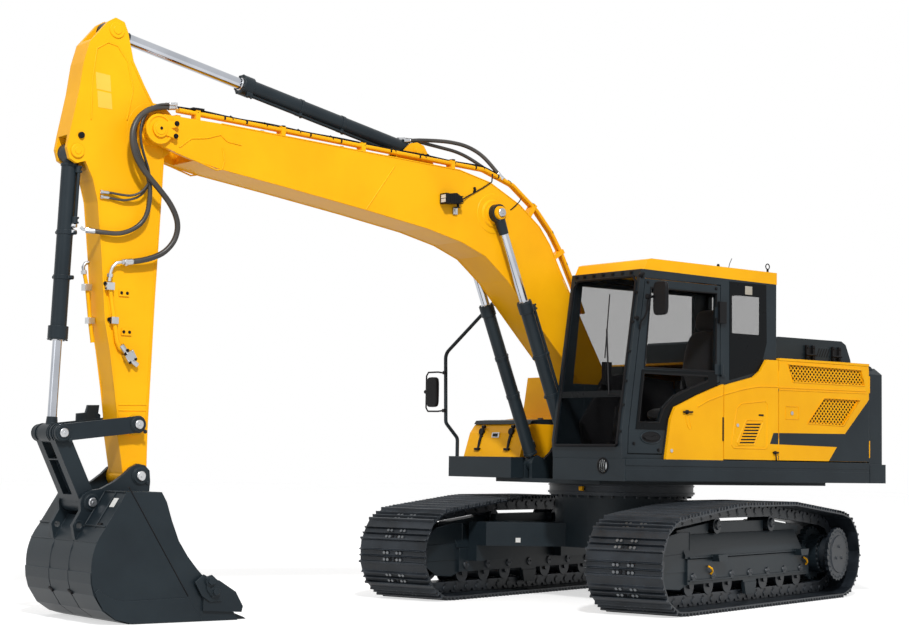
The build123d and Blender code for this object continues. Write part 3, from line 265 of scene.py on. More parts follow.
def oval(centre, half, count, power=1.0):
    """An ellipse in two axes, or a rounded rectangle where the power is under 1."""
    points = []
    for index in range(count):
        angle = 2 * math.pi * index / count
        reach = (math.cos(angle), math.sin(angle))
        points.append(tuple(c + math.copysign(abs(r) ** power, r) * h for c, r, h in zip(centre, reach, half)))
    return points


def circle(centre, radius, across, up, sides):
    """A ring of points about a centre, in the plane of two directions."""
    angles = [2 * math.pi * index / sides for index in range(sides)]
    return [tuple(centre + radius * (math.cos(angle) * across + math.sin(angle) * up)) for angle in angles]


class Shape:
    """Vertices in millimetres and faces, gathered until piece() makes them an object."""

    def __init__(self):
        self.points = []
        self.faces = []

    def add(self, points, faces):
        base = len(self.points)
        self.points.extend(points)
        self.faces.extend([tuple(base + index for index in face) for face in faces])

    def prism(self, outline, near, far, axis="y"):
        """A plate with an outline in the two other axes."""
        count = len(outline)
        points = []
        for depth in sorted((near, far)):
            for a, b in outline:
                points.append({"x": (depth, a, b), "y": (a, depth, b), "z": (a, b, depth)}[axis])
        faces = [tuple(range(count)), tuple(range(2 * count - 1, count - 1, -1))]
        for index in range(count):
            after = (index + 1) % count
            faces.append((index, index + count, after + count, after))
        self.add(points, faces)

    def frame_plate(self, outer, inner, low, high):
        """A flat ring between two outlines with equal counts, in X and Z."""
        count = len(outer)
        points = []
        for depth in (low, high):
            points += [(a, depth, b) for a, b in outer]
            points += [(a, depth, b) for a, b in inner]
        faces = []
        for index in range(count):
            after = (index + 1) % count
            for base, turn in ((0, 1), (2 * count, -1)):
                face = (base + index, base + after, base + count + after, base + count + index)
                faces.append(face[::turn])
            faces.append((index, index + 2 * count, after + 2 * count, after))
            faces.append((count + index, count + after, 3 * count + after, 3 * count + index))
        self.add(points, faces)

    def box(self, x_range, y_range, z_range):
        (x_low, x_high), (z_low, z_high) = x_range, z_range
        self.prism([(x_low, z_low), (x_high, z_low), (x_high, z_high), (x_low, z_high)], *y_range)

    def round(self, start, end, radius, end_radius=None, sides=24, hollow=0.0):
        """A cylinder or cone between two points, with a bore if hollow."""
        start, end = Vector(start), Vector(end)
        end_radius = radius if end_radius is None else end_radius
        line = (end - start).normalized()
        across = line.orthogonal().normalized()
        up = line.cross(across)
        rims = [(start, radius), (end, end_radius)]
        if hollow:
            rims += [(start, hollow), (end, hollow)]
        points = [point for centre, size in rims for point in circle(centre, size, across, up, sides)]
        faces = []
        for index in range(sides):
            after = (index + 1) % sides
            faces.append((index, after, sides + after, sides + index))
            if hollow:
                faces.append((2 * sides + after, 2 * sides + index, 3 * sides + index, 3 * sides + after))
                faces.append((after, index, 2 * sides + index, 2 * sides + after))
                faces.append((sides + index, sides + after, 3 * sides + after, 3 * sides + index))
        if not hollow:
            faces.append(tuple(range(sides - 1, -1, -1)))
            faces.append(tuple(range(sides, 2 * sides)))
        self.add(points, faces)

    def boss(self, pin, start_y, end_y, radius, end_radius=None, sides=24, hollow=0.0):
        """A cylinder across the machine, about a pin in X and Z."""
        self.round(spot(pin, start_y), spot(pin, end_y), radius, end_radius, sides, hollow)

    def tube(self, path, radius, sides=8, closed=False):
        """A round bar that follows a line of points."""
        path = [Vector(point) for point in path]
        count = len(path)
        turns = []
        for index in range(count):
            before = path[index - 1] if closed or index else path[index]
            after = path[(index + 1) % count] if closed or index < count - 1 else path[index]
            turns.append((after - before).normalized())
        across = turns[0].orthogonal().normalized()
        points = []
        for centre, turn in zip(path, turns):
            across = (across - across.dot(turn) * turn).normalized()
            points += circle(centre, radius, across, turn.cross(across), sides)
        faces = []
        for ring in range(count if closed else count - 1):
            there = (ring + 1) % count
            for index in range(sides):
                after = (index + 1) % sides
                near, far = ring * sides, there * sides
                faces.append((near + index, near + after, far + after, far + index))
        if not closed:
            faces.append(tuple(range(sides - 1, -1, -1)))
            faces.append(tuple(range((count - 1) * sides, count * sides)))
        self.add(points, faces)

    def bead(self, outline, y, radius, closed=False):
        """A round bar along a line in X and Z, at one Y."""
        self.tube([(x, y, z) for x, z in outline], radius, closed=closed)

    def bolt(self, spot, out, radius):
        """A hexagon head on a washer."""
        spot, out = Vector(spot), Vector(out)
        self.round(spot - out, spot + out * radius * 0.3, radius * 1.35, sides=16)
        self.round(spot, spot + out * radius * 0.95, radius, sides=6)

    def ring_of_bolts(self, pin, y, out, reach, count, radius, first=0.0):
        for index in range(count):
            angle = first + 2 * math.pi * index / count
            centre = (pin[0] + reach * math.cos(angle), y, pin[1] + reach * math.sin(angle))
            self.bolt(centre, (0, out, 0), radius)

    def pin_end(self, spot, out, radius):
        """The end of a joint pin: a domed end and a grease nipple."""
        spot, out = Vector(spot), Vector(out)
        self.round(spot, spot + out * 14, radius, sides=32)
        self.round(spot + out * 14, spot + out * 18, radius, radius * 0.86, sides=32)
        self.round(spot + out * 18, spot + out * 22, radius * 0.3, radius * 0.22, sides=12)


def turned(points):
    """Undercarriage points swing with the tracks."""
    cos, sin = math.cos(SWING), math.sin(SWING)
    return [(x * cos - y * sin, x * sin + y * cos, z) for x, y, z in points]


def piece(shape, name, material, body, smooth=True, on_tracks=False, bevel=0.0, slot=None):
    """Makes an object of a shape, gives it a finish and lets it ride on a body, if one is named."""
    points = turned(shape.points) if on_tracks else shape.points
    mesh = bpy.data.meshes.new(name)
    mesh.from_pydata([place(*point) for point in points], [], shape.faces)
    mesh.validate()
    outward = bmesh.new()
    outward.from_mesh(mesh)
    bmesh.ops.recalc_face_normals(outward, faces=outward.faces)
    outward.to_mesh(mesh)
    outward.free()
    mesh.update()
    obj = bpy.data.objects.new(name, mesh)
    bpy.context.collection.objects.link(obj)
    mesh.materials.append(material)
    if bevel:
        modifier = obj.modifiers.new("Soft edges", "BEVEL")
        modifier.width = bevel / 1000
        modifier.segments = 2
        modifier.limit_method = "ANGLE"
    if smooth:
        for polygon in mesh.polygons:
            polygon.use_smooth = True
        mesh.set_sharp_from_angle(angle=SHARP_ANGLE)
    if body:
        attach(obj, body)
    slot or SLOT_OF[material.name]
    return obj


# Left covers

FACE = 1237
DECK_FRONT = 1114
GRILLES = (
    [(-861, 2122), (-1861, 2112), (-1903, 1966), (-927, 1966)],
    [(-1348, 1834), (-1840, 1833), (-1612, 1589), (-1127, 1599)],
)


def build_left_panels():
    rear_band = [(-750, 1505), (-1633, 1515), (-1969, 1838), (-1969, 1264)]
    rear_band += [(-1413, 1264), (-1523, 1394), (-750, 1404)]
    shape = Shape()
    shape.prism(rear_band, FACE, FACE + 1.2)
    shape.prism([(-1960, 1838), (-1971, 1838), (-1971, 1264), (-1960, 1264)], FACE - 34, FACE + 1)
    piece(shape, "dark_band_rear", DARK, "rear_cover", smooth=False)
    shape = Shape()
    shape.prism([(-755, 2128), (-1970, 2128), (-1970, 2149), (-755, 2149)], FACE - 20, FACE - 3)
    piece(shape, "rear_cover_top_rail", YELLOW, "rear_cover", bevel=3)
    shape = Shape()
    shape.prism([(-677, 1504), (-740, 1505), (-740, 1404), (-633, 1406)], FACE, FACE + 1.2)
    piece(shape, "dark_band_front", DARK, "front_cover", smooth=False)

    shape = Shape()
    shape.bead([(270, 1708), (138, 1766), (-42, 1820)], FACE, 6)
    piece(shape, "nose_crease", YELLOW, "upper")
    door = [(-212, 1703), (-265, 1749), (-570, 1781), (-603, 1752)]
    door += [(-598, 1373), (-572, 1361), (-171, 1362), (-145, 1388)]
    vent = [(-331, 1608), (-531, 1611), (-545, 1590), (-429, 1395), (-229, 1391), (-214, 1412)]
    shape = Shape()
    shape.bead([(-58, 1824), (-243, 1868), (-400, 1896), (-503, 1908), (-738, 1914)], FACE, 6)
    shape.bead(door, FACE, 4.5, closed=True)
    shape.bead(vent, FACE, 6, closed=True)
    shape.prism([(-196, 1376), (-566, 1376), (-566, 1616), (-196, 1616)], FACE - 0.5, FACE + 0.8)
    # The black marks between the louvre blades are painted shade standing in for the slot openings.
    shade_slots = Shape()
    for index in range(7):
        x, z = -434 - 13 * index, 1408 + 27 * index
        shape.prism([(x, z + 12), (x + 182, z + 8), (x + 180, z + 17), (x - 4, z + 21)], FACE - 2, FACE + 7)
        shade_slots.prism([(x + 4, z - 1), (x + 186, z - 4), (x + 182, z + 9), (x, z + 13)], FACE, FACE + 1.4)
    piece(shape, "front_cover_pressings", YELLOW, "front_cover")
    piece(shade_slots, "front_cover_slot_shade", BLACK, "front_cover", smooth=False)
    shape = Shape()
    shape.bead([(-755, 1909), (-1921, 1917)], FACE, 6)
    shape.bead([(-755, 1888), (-1933, 1896)], FACE, 5)
    shape.bead([(-837, 1744), (-1006, 1744), (-1006, 1631), (-837, 1631)], FACE, 4, closed=True)
    for opening in GRILLES:
        shape.bead(opening, FACE, 7, closed=True)
    piece(shape, "rear_cover_pressings", YELLOW, "rear_cover")

    for name, centre, radius, body in (
        ("rear_cover_lock", (-916, 1686), 17, "rear_cover"),
        ("front_cover_lock", (-219, 1561), 15, "front_cover"),
        ("nose_bolt", (580, 1327), 15, "upper"),
    ):
        shape = Shape()
        shape.boss(centre, FACE, FACE + 6, radius)
        piece(shape, name, MACHINED, body)

    shape = Shape()
    shape.box((-48, -32), (FACE, FACE + 5), (1420, 1626))
    shape.round((456, FACE + 16, 1658), (344, FACE + 16, 1660), 8, sides=12)
    shape.boss((405, 1659), FACE, FACE + 18, 18, sides=16)
    piece(shape, "nose_latch", BLACK, "upper", bevel=2)
    shape = Shape()
    shape.bead([(425, 1640), (385, 1640), (345, 1530), (362, 1512), (385, 1530)], FACE, 5, closed=True)
    piece(shape, "nose_latch_recess", YELLOW, "upper")
    shape = Shape()
    shape.box((-548, -487), (FACE - 1, FACE + 4), (1649, 1664))
    shape.round((-728, FACE + 14, 1330), (-662, FACE + 14, 1330), 9, sides=12)
    shape.boss((-695, 1330), FACE, FACE + 14, 15, sides=14)
    shape.tube([(-695, FACE + 12, 1322), (-699, FACE + 14, 1290), (-706, FACE + 10, 1262)], 6)
    piece(shape, "front_cover_latch", BLACK, "front_cover", bevel=1.5)


def clip_line(start, way, outline):
    """Part of a straight line inside a convex outline, as two distances, or None."""
    low, high = -1e9, 1e9
    edges = list(zip(outline, outline[1:] + outline[:1]))
    turn = math.copysign(1, sum(a[0] * b[1] - b[0] * a[1] for a, b in edges))
    for (ax, az), (bx, bz) in edges:
        nx, nz = -(bz - az) * turn, (bx - ax) * turn
        over = nx * (start[0] - ax) + nz * (start[1] - az)
        rate = nx * way[0] + nz * way[1]
        if abs(rate) < 1e-9:
            if over < 0:
                return None
        elif rate > 0:
            low = max(low, -over / rate)
        else:
            high = min(high, -over / rate)
    return (low, high) if high - low > 4 else None


GRILLE_STEP = 33
BAR_HALF = 6


def build_grilles():
    """Punched screens: two crossing families of flat bars over a black back that is painted shade behind them."""
    shape = Shape()
    for outline in GRILLES:
        centre_x = sum(x for x, z in outline) / 4
        centre_z = sum(z for x, z in outline) / 4
        for lean in (1, -1):
            way = (math.sqrt(0.5), lean * math.sqrt(0.5))
            side = (-way[1], way[0])
            depth = FACE - 12 - (0 if lean > 0 else 2.5)
            for index in range(-24, 25):
                shift = GRILLE_STEP * index
                start = (centre_x + side[0] * shift, centre_z + side[1] * shift)
                span = clip_line(start, way, outline)
                if span is None:
                    continue
                corners = ((span[0], -BAR_HALF), (span[1], -BAR_HALF), (span[1], BAR_HALF), (span[0], BAR_HALF))
                bar = []
                for share, off in corners:
                    x = start[0] + way[0] * share + side[0] * off
                    bar.append((x, start[1] + way[1] * share + side[1] * off))
                shape.prism(bar, depth - 2.5, depth)
    screen = piece(shape, "grille_mesh", YELLOW, "rear_cover", smooth=False)
    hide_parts("grilles")
    # A black sheet behind each screen, as painted shade for the space behind it.
    shape = Shape()
    for outline in GRILLES:
        shape.prism(outline, FACE - 40, FACE - 32)
    piece(shape, "grille_shade_backs", BLACK, "rear_cover", smooth=False)


# Hood, counterweight and decks


def build_hood_details():
    shape = Shape()
    for x in (-1570, -1935):
        shape.box((x - 55, x + 55), (861, 869), (2226, 2322))
        for low, high in ((x - 60, x - 28), (x + 28, x + 60)):
            shape.box((low, high), (861, 884), (2204, 2340))
        shape.round((x - 66, 884, 2250), (x + 66, 884, 2250), 11, sides=14)
        for dx in (-44, 44):
            for z in (2222, 2318):
                shape.bolt((x + dx, 884, z), (0, 1, 0), 9)
    piece(shape, "hood_hinge_leaves", BLACK, "hood", bevel=2)
    shape = Shape()
    shape.prism([(-1650, 2228), (-1862, 2228), (-1862, 2330), (-1650, 2330)], 859.5, 861)
    piece(shape, "hood_slot_plate", DARK, "hood", smooth=False)
    # The black slits are painted shade standing in for the vent openings.
    shape = Shape()
    for x in range(-1668, -1838, -34):
        shape.prism([(x, 2238), (x - 15, 2238), (x - 55, 2318), (x - 40, 2318)], 861, 862.2)
    piece(shape, "hood_slot_shade", BLACK, "hood", smooth=False)


def build_deck_details():
    shape = Shape()
    shape.box((-1972, 1108), (1237.5, 1243), (1196, 1250))
    shape.box((-1972, 1108), (1237.5, 1241), (1070, 1168))
    piece(shape, "deck_skirt", DARK, "upper", bevel=4)
    shape = Shape()
    cap = [(-1980, 2130), (-1980, 2166), (-2012, 2166), (-2062, 2150), (-2100, 2110), (-2090, 2100)]
    for side in BOTH_SIDES:
        shape.prism(cap, side * 872, side * 1188)
    piece(shape, "counterweight_caps", DARK, "upper", bevel=6)


# Cab

CAB_SIDE = 1205
UPPER_WINDOW = [(15, 2700), (800, 2700), (868, 2020), (15, 2020)]
LOWER_WINDOW = [
    (120, 1975), (875, 1975), (930, 1560), (700, 1560), (640, 1690), (520, 1790), (320, 1870), (120, 1935),
]


def windscreen_x(z):
    """The sloping front of the cab, just ahead of its frame."""
    return 1133 + (915 - 1130) / (2850 - 1400) * (z - 1400)


def build_cab_door_details():
    shape = Shape()
    for window in (UPPER_WINDOW, LOWER_WINDOW):
        shape.bead(window, CAB_SIDE - 1, 10, closed=True)
    shape.box((-78, 4), (1211, 1240), (2440, 2630))
    piece(shape, "door_seals", BLACK, "door", bevel=1)

    shape = Shape()
    outer = [(-146, 2818), (-611, 2818), (-620, 2302), (-537, 2046), (-151, 1952)]
    inner = [(-175, 2700), (-520, 2700), (-520, 2369), (-500, 2366), (-178, 2366)]
    shape.frame_plate(outer, inner, CAB_SIDE, CAB_SIDE + 3)
    piece(shape, "rear_glass_border", BLACK_GLASS, "upper", smooth=False)
    shape = Shape()
    shape.box((-430, -340), (CAB_SIDE + 3, CAB_SIDE + 4), (2716, 2790))
    piece(shape, "blank_plate", TAG, "upper", smooth=False)


def build_cab_front_details():
    shape = Shape()
    corners = [(375, 1372), (388, 1360), (1147, 1360), (1160, 1372)]
    corners += [(1160, 2740), (1120, 2790), (430, 2790), (375, 2735)]
    shape.tube([(windscreen_x(z), y, z) for y, z in corners], 12, closed=True)
    for wiper, radius in (
        ([(0, 1130, 1780, 1780), (8, 1000, 1795, 1795), (12, 880, 2350, 2350)], 8),
        ([(16, 905, 2100, 2100), (16, 870, 2650, 2650)], 5),
    ):
        shape.tube([(windscreen_x(at) + ahead, y, z) for ahead, y, at, z in wiper], radius)
    for y in (400, 500, 620, 740, 860, 980, 1090):
        x = windscreen_x(2826)
        shape.round((x - 4, y, 2826), (x + 8, y, 2826), 15, sides=14)
        shape.round((x + 7, y, 2826), (x + 13, y, 2826), 9, sides=6)
    for z in (1480, 1700, 1900, 2150, 2400, 2650):
        x = windscreen_x(z)
        shape.round((x - 4, 1186, z), (x + 8, 1186, z), 12, sides=12)
    x = windscreen_x(2790)
    shape.tube([(x, 1196, 2790), (x + 4, 1214, 2800), (windscreen_x(2700) - 40, 1222, 2812)], 14, sides=12)
    piece(shape, "front_seals", BLACK, "upper")
    shape = Shape()
    pane_bar = [(386, 1768), (1149, 1768), (1149, 1822), (386, 1822)]
    points = [(windscreen_x(z) + reach, y, z) for reach in (-1, 6) for y, z in pane_bar]
    shape.add(points, [(0, 1, 2, 3), (7, 6, 5, 4), (0, 4, 5, 1), (1, 5, 6, 2), (2, 6, 7, 3), (3, 7, 4, 0)])
    piece(shape, "pane_joint", BLACK_GLASS, "upper", smooth=False)


def build_door_fittings():
    rim = [(8, 2012), (900, 2002), (966, 1500), (625, 1500), (560, 1652), (430, 1728), (240, 1805), (4, 1880)]
    shape = Shape()
    shape.frame_plate(rim, LOWER_WINDOW, CAB_SIDE, CAB_SIDE + 4)
    piece(shape, "door_glass_border", BLACK_GLASS, "door", smooth=False)

    recess = oval((790, 1436), (116, 52), 28)
    grip = [(702, 1446), (720, 1420), (780, 1408), (850, 1414), (884, 1436), (850, 1444), (780, 1440), (730, 1452)]
    shape = Shape()
    shape.prism(recess, CAB_SIDE, CAB_SIDE + 3)
    shape.prism(grip, CAB_SIDE + 2, CAB_SIDE + 14)
    piece(shape, "door_handle", BLACK, "door", bevel=2)
    shape = Shape()
    shape.bead(recess, CAB_SIDE + 2, 6, closed=True)
    piece(shape, "door_handle_rim", DARK, "door")


def build_cab_fittings():
    light = Vector((DECK_FRONT, 969, 1192))
    shape = Shape()
    shape.tube([(light.x + 3, y, z) for y, z in oval((light.y, light.z), (62, 62), 32)], 7, closed=True)
    for lift in (-36, -12, 12, 36):
        half = math.sqrt(58 ** 2 - lift ** 2)
        shape.tube([light + Vector((ahead, lift, up)) for ahead, up in ((8, -half), (14, 0), (8, half))], 6)
    piece(shape, "step_light_guard", BLACK, "upper")
    shape = Shape()
    shape.round(light - Vector((2, 0, 0)), light + Vector((4, 0, 0)), 52, sides=32)
    piece(shape, "step_light", LAMP, "upper")

    shape = Shape()
    shape.round((-690, 1150, 2938), (-690, 1150, 2972), 10)
    shape.bead(oval((-690, 2992), (24, 24), 20), 1150, 5, closed=True)
    shape.round((-61, 1150, 2940), (-61, 1150, 2968), 16, 10)
    shape.bead([(-190, 2940), (-205, 2985), (-232, 3030)], 1150, 3)
    piece(shape, "roof_fittings", BLACK, "upper")
    shape = Shape()
    for x, z in ((838, 2742), (20, 2742), (985, 1380), (700, 1330)):
        shape.bolt((x, CAB_SIDE, z), (0, 1, 0), 11)
    piece(shape, "door_bolts", BLACK, "door")
    shape = Shape()
    for z in (2790, 2430):
        clamp = (windscreen_x(z) - 20, z)
        shape.boss(clamp, 1190, 1216, 22, 18, sides=16)
        shape.bolt(spot(clamp, 1215), (0, 1, 0), 11)
    piece(shape, "pillar_clamps", BLACK, "upper")


def signed_power(value, power):
    return math.copysign(abs(value) ** power, value)


def cushion(name, centre, size, lean):
    """A crowned closed pad, turned about the axis across the machine."""
    shape = Shape()
    rings, sides = 14, 28
    points = []
    for ring in range(rings + 1):
        polar = math.pi * ring / rings
        bulge = signed_power(math.sin(polar), 0.35)
        for index in range(sides):
            angle = 2 * math.pi * index / sides
            x = signed_power(math.cos(angle), 0.45) * bulge * size[0] / 2
            y = signed_power(math.sin(angle), 0.45) * bulge * size[1] / 2
            z = signed_power(math.cos(polar), 0.75) * size[2] / 2
            turned_x = x * math.cos(lean) + z * math.sin(lean)
            turned_z = -x * math.sin(lean) + z * math.cos(lean)
            points.append((centre[0] + turned_x, centre[1] + y, centre[2] + turned_z))
    faces = []
    for near in range(0, rings * sides, sides):
        for index in range(sides):
            after = (index + 1) % sides
            faces.append((near + index, near + after, near + sides + after, near + sides + index))
    shape.add(points, faces)
    pad = piece(shape, name, CLOTH, "upper")
    return pad


def build_seat():
    middle = (CAB_SIDE + 330) / 2
    base = cushion("seat_cushion", (-10, middle, 1655), (520, 500, 120), 0.05)
    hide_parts("seat")
    cushion("seat_back", (-270, middle, 2040), (110, 480, 740), -0.16)
    cushion("seat_headrest", (-345, middle, 2500), (90, 290, 190), -0.16)
    shape = Shape()
    shape.box((-220, 160), (middle - 180, middle + 180), (1300, 1590))
    shape.box((-260, 220), (middle - 230, middle + 230), (1575, 1600))
    piece(shape, "seat_base", PLASTIC, "upper", bevel=8)
    shape = Shape()
    shape.tube([(800, middle, 1390), (700, middle, 1750), (640, middle, 1900)], 34, sides=14)
    for left in BOTH_SIDES:
        y = middle + left * 300
        shape.tube([(250, y, 1850), (285, y, 1960), (300, y, 2010)], 16, sides=12)
        y = middle + left * 70
        shape.tube([(760, y, 1400), (720, y, 1700)], 10, sides=10)
    shape.box((560, 640), (420, 470), (1900, 2100))
    console = [(-260, 1310), (820, 1310), (860, 1560), (560, 1980), (300, 2010), (-260, 1960)]
    shape.prism(console, 345, 400)
    piece(shape, "cab_controls", PLASTIC, "upper", bevel=3)


def mirror(name, centre, size):
    """Rounded housing of a mirror."""
    x, y, z = centre
    shape = Shape()
    shape.prism(oval((y, z), (size[0] / 2, size[1] / 2), 28, power=0.4), x - 14, x + 22, axis="x")
    return piece(shape, name, BLACK, "upper", bevel=10)


def build_mirrors():
    cab_mirror = mirror("cab_mirror", (862, 1392, 2595), (160, 285))
    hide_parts("mirrors")
    mirror("right_mirror", (1190, -1300, 1845), (160, 280))
    shape = Shape()
    shape.tube([(930, 1208, 2340), (935, 1225, 2400), (925, 1262, 2440), (905, 1272, 2500), (900, 1276, 2610)], 9)
    shape.round((905, 1262, 2612), (898, 1296, 2612), 24, 20, sides=16)
    shape.round((900, 1290, 2612), (893, 1322, 2608), 12, sides=12)
    rail = [(1172, -1152, 2020), (1172, -1250, 2032), (1172, -1400, 2032), (1180, -1418, 2000)]
    rail += [(1180, -1418, 1700), (1172, -1400, 1668), (1170, -1250, 1666), (1166, -1152, 1674)]
    shape.tube(rail, 8)
    shape.round((1186, -1424, 1850), (1190, -1370, 1850), 18, 14)
    for z in (2024, 1672):
        shape.box((1150, 1180), (-1172, -1136), (z - 16, z + 16))
    piece(shape, "mirror_arms", BLACK, "upper")


# Front: pins, boom and cylinders

BOOM_FOOT = (360, 1735)
BOOM_TIP = (4990, 3675)
RAM_FOOT = (835, 1200)
RAM_HEAD = (1715, 3335)
ARM_RAM_FOOT = (2456, 3809)
ARM_HEAD = (5312, 4405)
BUCKET_RAM_FOOT = (5610, 3452)
ROD_PIN = (5692, 1368)
GUIDE_PIN = (5083, 1443)
BUCKET_PIN = (5054, 1061)
BUCKET_LINK_PIN = (5447, 866)
LINK_FACE = 194


def build_link_pins():
    """Silver pin ends with dark collars at the bucket's linkage."""
    for name, pin, radius, collar, body in (
        ("rod", ROD_PIN, 34, 56, "guide_links"),
        ("guide", GUIDE_PIN, 34, 56, "guide_links"),
        ("bucket", BUCKET_PIN, 36, 60, "bucket"),
        ("link", BUCKET_LINK_PIN, 34, 56, "bucket"),
    ):
        ends = Shape()
        collars = Shape()
        for side in BOTH_SIDES:
            near = side * (LINK_FACE - 1)
            ends.pin_end(spot(pin, side * (LINK_FACE + 14)), (0, side, 0), radius)
            collars.boss(pin, near, side * (LINK_FACE + 16), collar, sides=36, hollow=radius * 0.9)
            collars.boss(pin, near, side * (LINK_FACE + 7), collar + 9, sides=36)
            collars.bolt((pin[0] - 62, side * LINK_FACE, pin[1] - 52), (0, side, 0), 12)
        if name == "rod":
            for side in BOTH_SIDES:
                for start, size in ((76, 70), (100, 66), (124, 72), (150, 67)):
                    collars.boss(pin, side * start, side * (start + 12), size, sides=36, hollow=61)
        piece(ends, f"{name}_pin_ends", MACHINED, body)
        piece(collars, f"{name}_pin_collars", DARK, body, bevel=2)


BOOM_TOP_LINE = [(4433, 3787), (3300, 3733), (2085, 3676), (1750, 3602), (1416, 3440)]
BOOM_TOP_LINE += [(1185, 3265), (1066, 3118), (946, 2906), (640, 2400), (300, 1850)]
BOOM_BOTTOM_LINE = [
    (560, 1800), (970, 2197), (1170, 2397), (1540, 2772), (1790, 2965), (2050, 3065), (2420, 3150), (3050, 3247),
    (3790, 3350), (4440, 3435), (4720, 3490),
]
BOOM_WELD = [(2766, 3637), (3047, 3249)]
TIP_BEADS = (
    [(4800, 3560), (4700, 3640), (4560, 3660), (4440, 3700), (4380, 3655), (4250, 3640)],
    [(4830, 3520), (4640, 3470), (4470, 3420), (4420, 3430), (4400, 3500), (4420, 3600)],
)
PIPE_LINE = [
    (4800, 3850), (4600, 3843), (4060, 3819), (3014, 3768), (1800, 3712), (1570, 3646), (1400, 3556), (1200, 3412),
    (1030, 3235), (915, 3070), (765, 2800), (640, 2540),
]


def pipe_point(share):
    """A point in X and Z on the line of the boom's pipes."""
    left = share * sum(math.dist(a, b) for a, b in zip(PIPE_LINE, PIPE_LINE[1:]))
    for start, end in zip(PIPE_LINE, PIPE_LINE[1:]):
        length = math.dist(start, end)
        if left <= length:
            return along(start, end, left)
        left -= length
    return PIPE_LINE[-1]


def build_boom_plates():
    shape = Shape()
    keeper = [(4968, 3735), (4835, 3752), (4828, 3712), (4895, 3690), (4832, 3655), (4842, 3612), (4975, 3640)]
    for side in BOTH_SIDES:
        for near, far, radius, end_radius in ((194, 200, 175, 168), (199, 214, 124, 112), (213, 231, 86, 82)):
            shape.boss(RAM_HEAD, side * near, side * far, radius, end_radius, sides=48)
        for line in (BOOM_TOP_LINE, BOOM_BOTTOM_LINE, BOOM_WELD):
            shape.bead(line, side * 195, 6)
        shape.prism(keeper, side * 223, side * 237)
        shape.boss(BOOM_TIP, side * 223, side * 241, 62, sides=40)
        shape.boss(BOOM_TIP, side * 241, side * 245, 44, sides=40)
        shape.boss(BOOM_FOOT, side * 196, side * 198, 110, sides=40)
    for side in BOTH_SIDES:
        shape.boss(ARM_RAM_FOOT, side * 103, side * 112, 52, sides=36)
        shape.boss(ARM_RAM_FOOT, side * 112, side * 117, 36, sides=30)
        shape.boss(BOOM_TIP, side * 222, side * 230, 118, 112, sides=48, hollow=96)
        for line in TIP_BEADS:
            shape.bead(line, side * 196, 7)
    piece(shape, "boom_plates", YELLOW, "boom", bevel=1.5)


def build_boom_fittings():
    shape = Shape()
    for side in BOTH_SIDES:
        for x, z in ((4850, 3732), (4856, 3634)):
            shape.bolt((x, side * 237, z), (0, side, 0), 15)
        shape.boss((4985, 3680), side * 245, side * 249, 12, sides=14)
        shape.bolt((2360, side * 103, 3770), (0, side, 0), 18)
    shape.box((4590, 4690), (121, 198), (3868, 3884))
    for x, z in ((3862, 3834), (3082, 3797), (2152, 3753)):
        for side in BOTH_SIDES[::-1]:
            shape.box((x - 15, x + 15), (side * 121, side * 198), (z, z + 9))
    for x, z in (
        (4400, 3838), (4200, 3829), (3600, 3800), (3300, 3785), (2800, 3762), (2500, 3748), (1900, 3720), (1650, 3668),
    ):
        for y in (136, 174, -136, -174):
            shape.round((x - 7, y, z - 0.4), (x + 7, y, z + 0.4), 19.5, sides=12)
    piece(shape, "boom_black_fittings", BLACK, "boom")


def build_work_lamp():
    shape = Shape()
    for low in (3376, 3411):
        shape.box((2291, 2293), (215, 279), (low, low + 30))
    piece(shape, "work_lamp_lens", LAMP, "boom", smooth=False)
    outer = [(3364, 203), (3452, 203), (3452, 291), (3364, 291)]
    inner = [(3374, 213), (3444, 213), (3444, 281), (3374, 281)]
    shape = Shape()
    shape.frame_plate(outer, inner, 2266, 2296)
    shape.points = [(depth, across, up) for up, depth, across in shape.points]
    for x in range(2150, 2260, 22):
        shape.box((x, x + 8), (204, 290), (3374, 3446))
    piece(shape, "work_lamp_frame", BLACK, "boom", bevel=1.5)
    shape = Shape()
    shape.box((2112, 2158), (203, 212), (3290, 3346))
    shape.bolt((2135, 212, 3318), (0, 1, 0), 12)
    piece(shape, "work_lamp_bracket", MACHINED, "boom")
    wire = [(2112, 240, 3412), (2080, 225, 3418), (2000, 205, 3458), (1925, 202, 3498)]
    wire += [(1830, 201, 3550), (1735, 200, 3610), (1720, 190, 3680)]
    shape = Shape()
    shape.tube(wire, 6)
    shape.round((1925, 197, 3498), (1925, 212, 3530), 11, sides=12)
    shape.boss((1925, 3535), 199, 208, 12, sides=12)
    shape.tube([(1520, 197, 3387), (1470, 200, 3425), (1420, 196, 3470), (1392, 185, 3500)], 5)
    for z in (3376, 3388, 3400, 3436):
        shape.box((2108, 2152), (210, 284), (z, z + 5))
    piece(shape, "work_lamp_wire", BLACK, "boom")


def build_boom_cables():
    cable = Shape()
    for y, lift in ((155, 19), (150, 30)):
        route = []
        for index in range(61):
            x, z = pipe_point(index / 60)
            route.append((x, y + 4 * math.sin(index * 0.9 + lift), z + lift + 3 * math.sin(index * 0.7)))
        cable.tube(route, 6, sides=6)
    for index in range(1, 30, 2):
        x, z = pipe_point(index / 30)
        strap = ((117, 2), (126, 20), (150, 38), (184, 20), (193, 2))
        cable.tube([(x, y, z + up) for y, up in strap], 4, sides=6)
    piece(cable, "boom_cables", BLACK, "boom")


GLAND_BOLTS = 8
PIN_WALL = 38.1


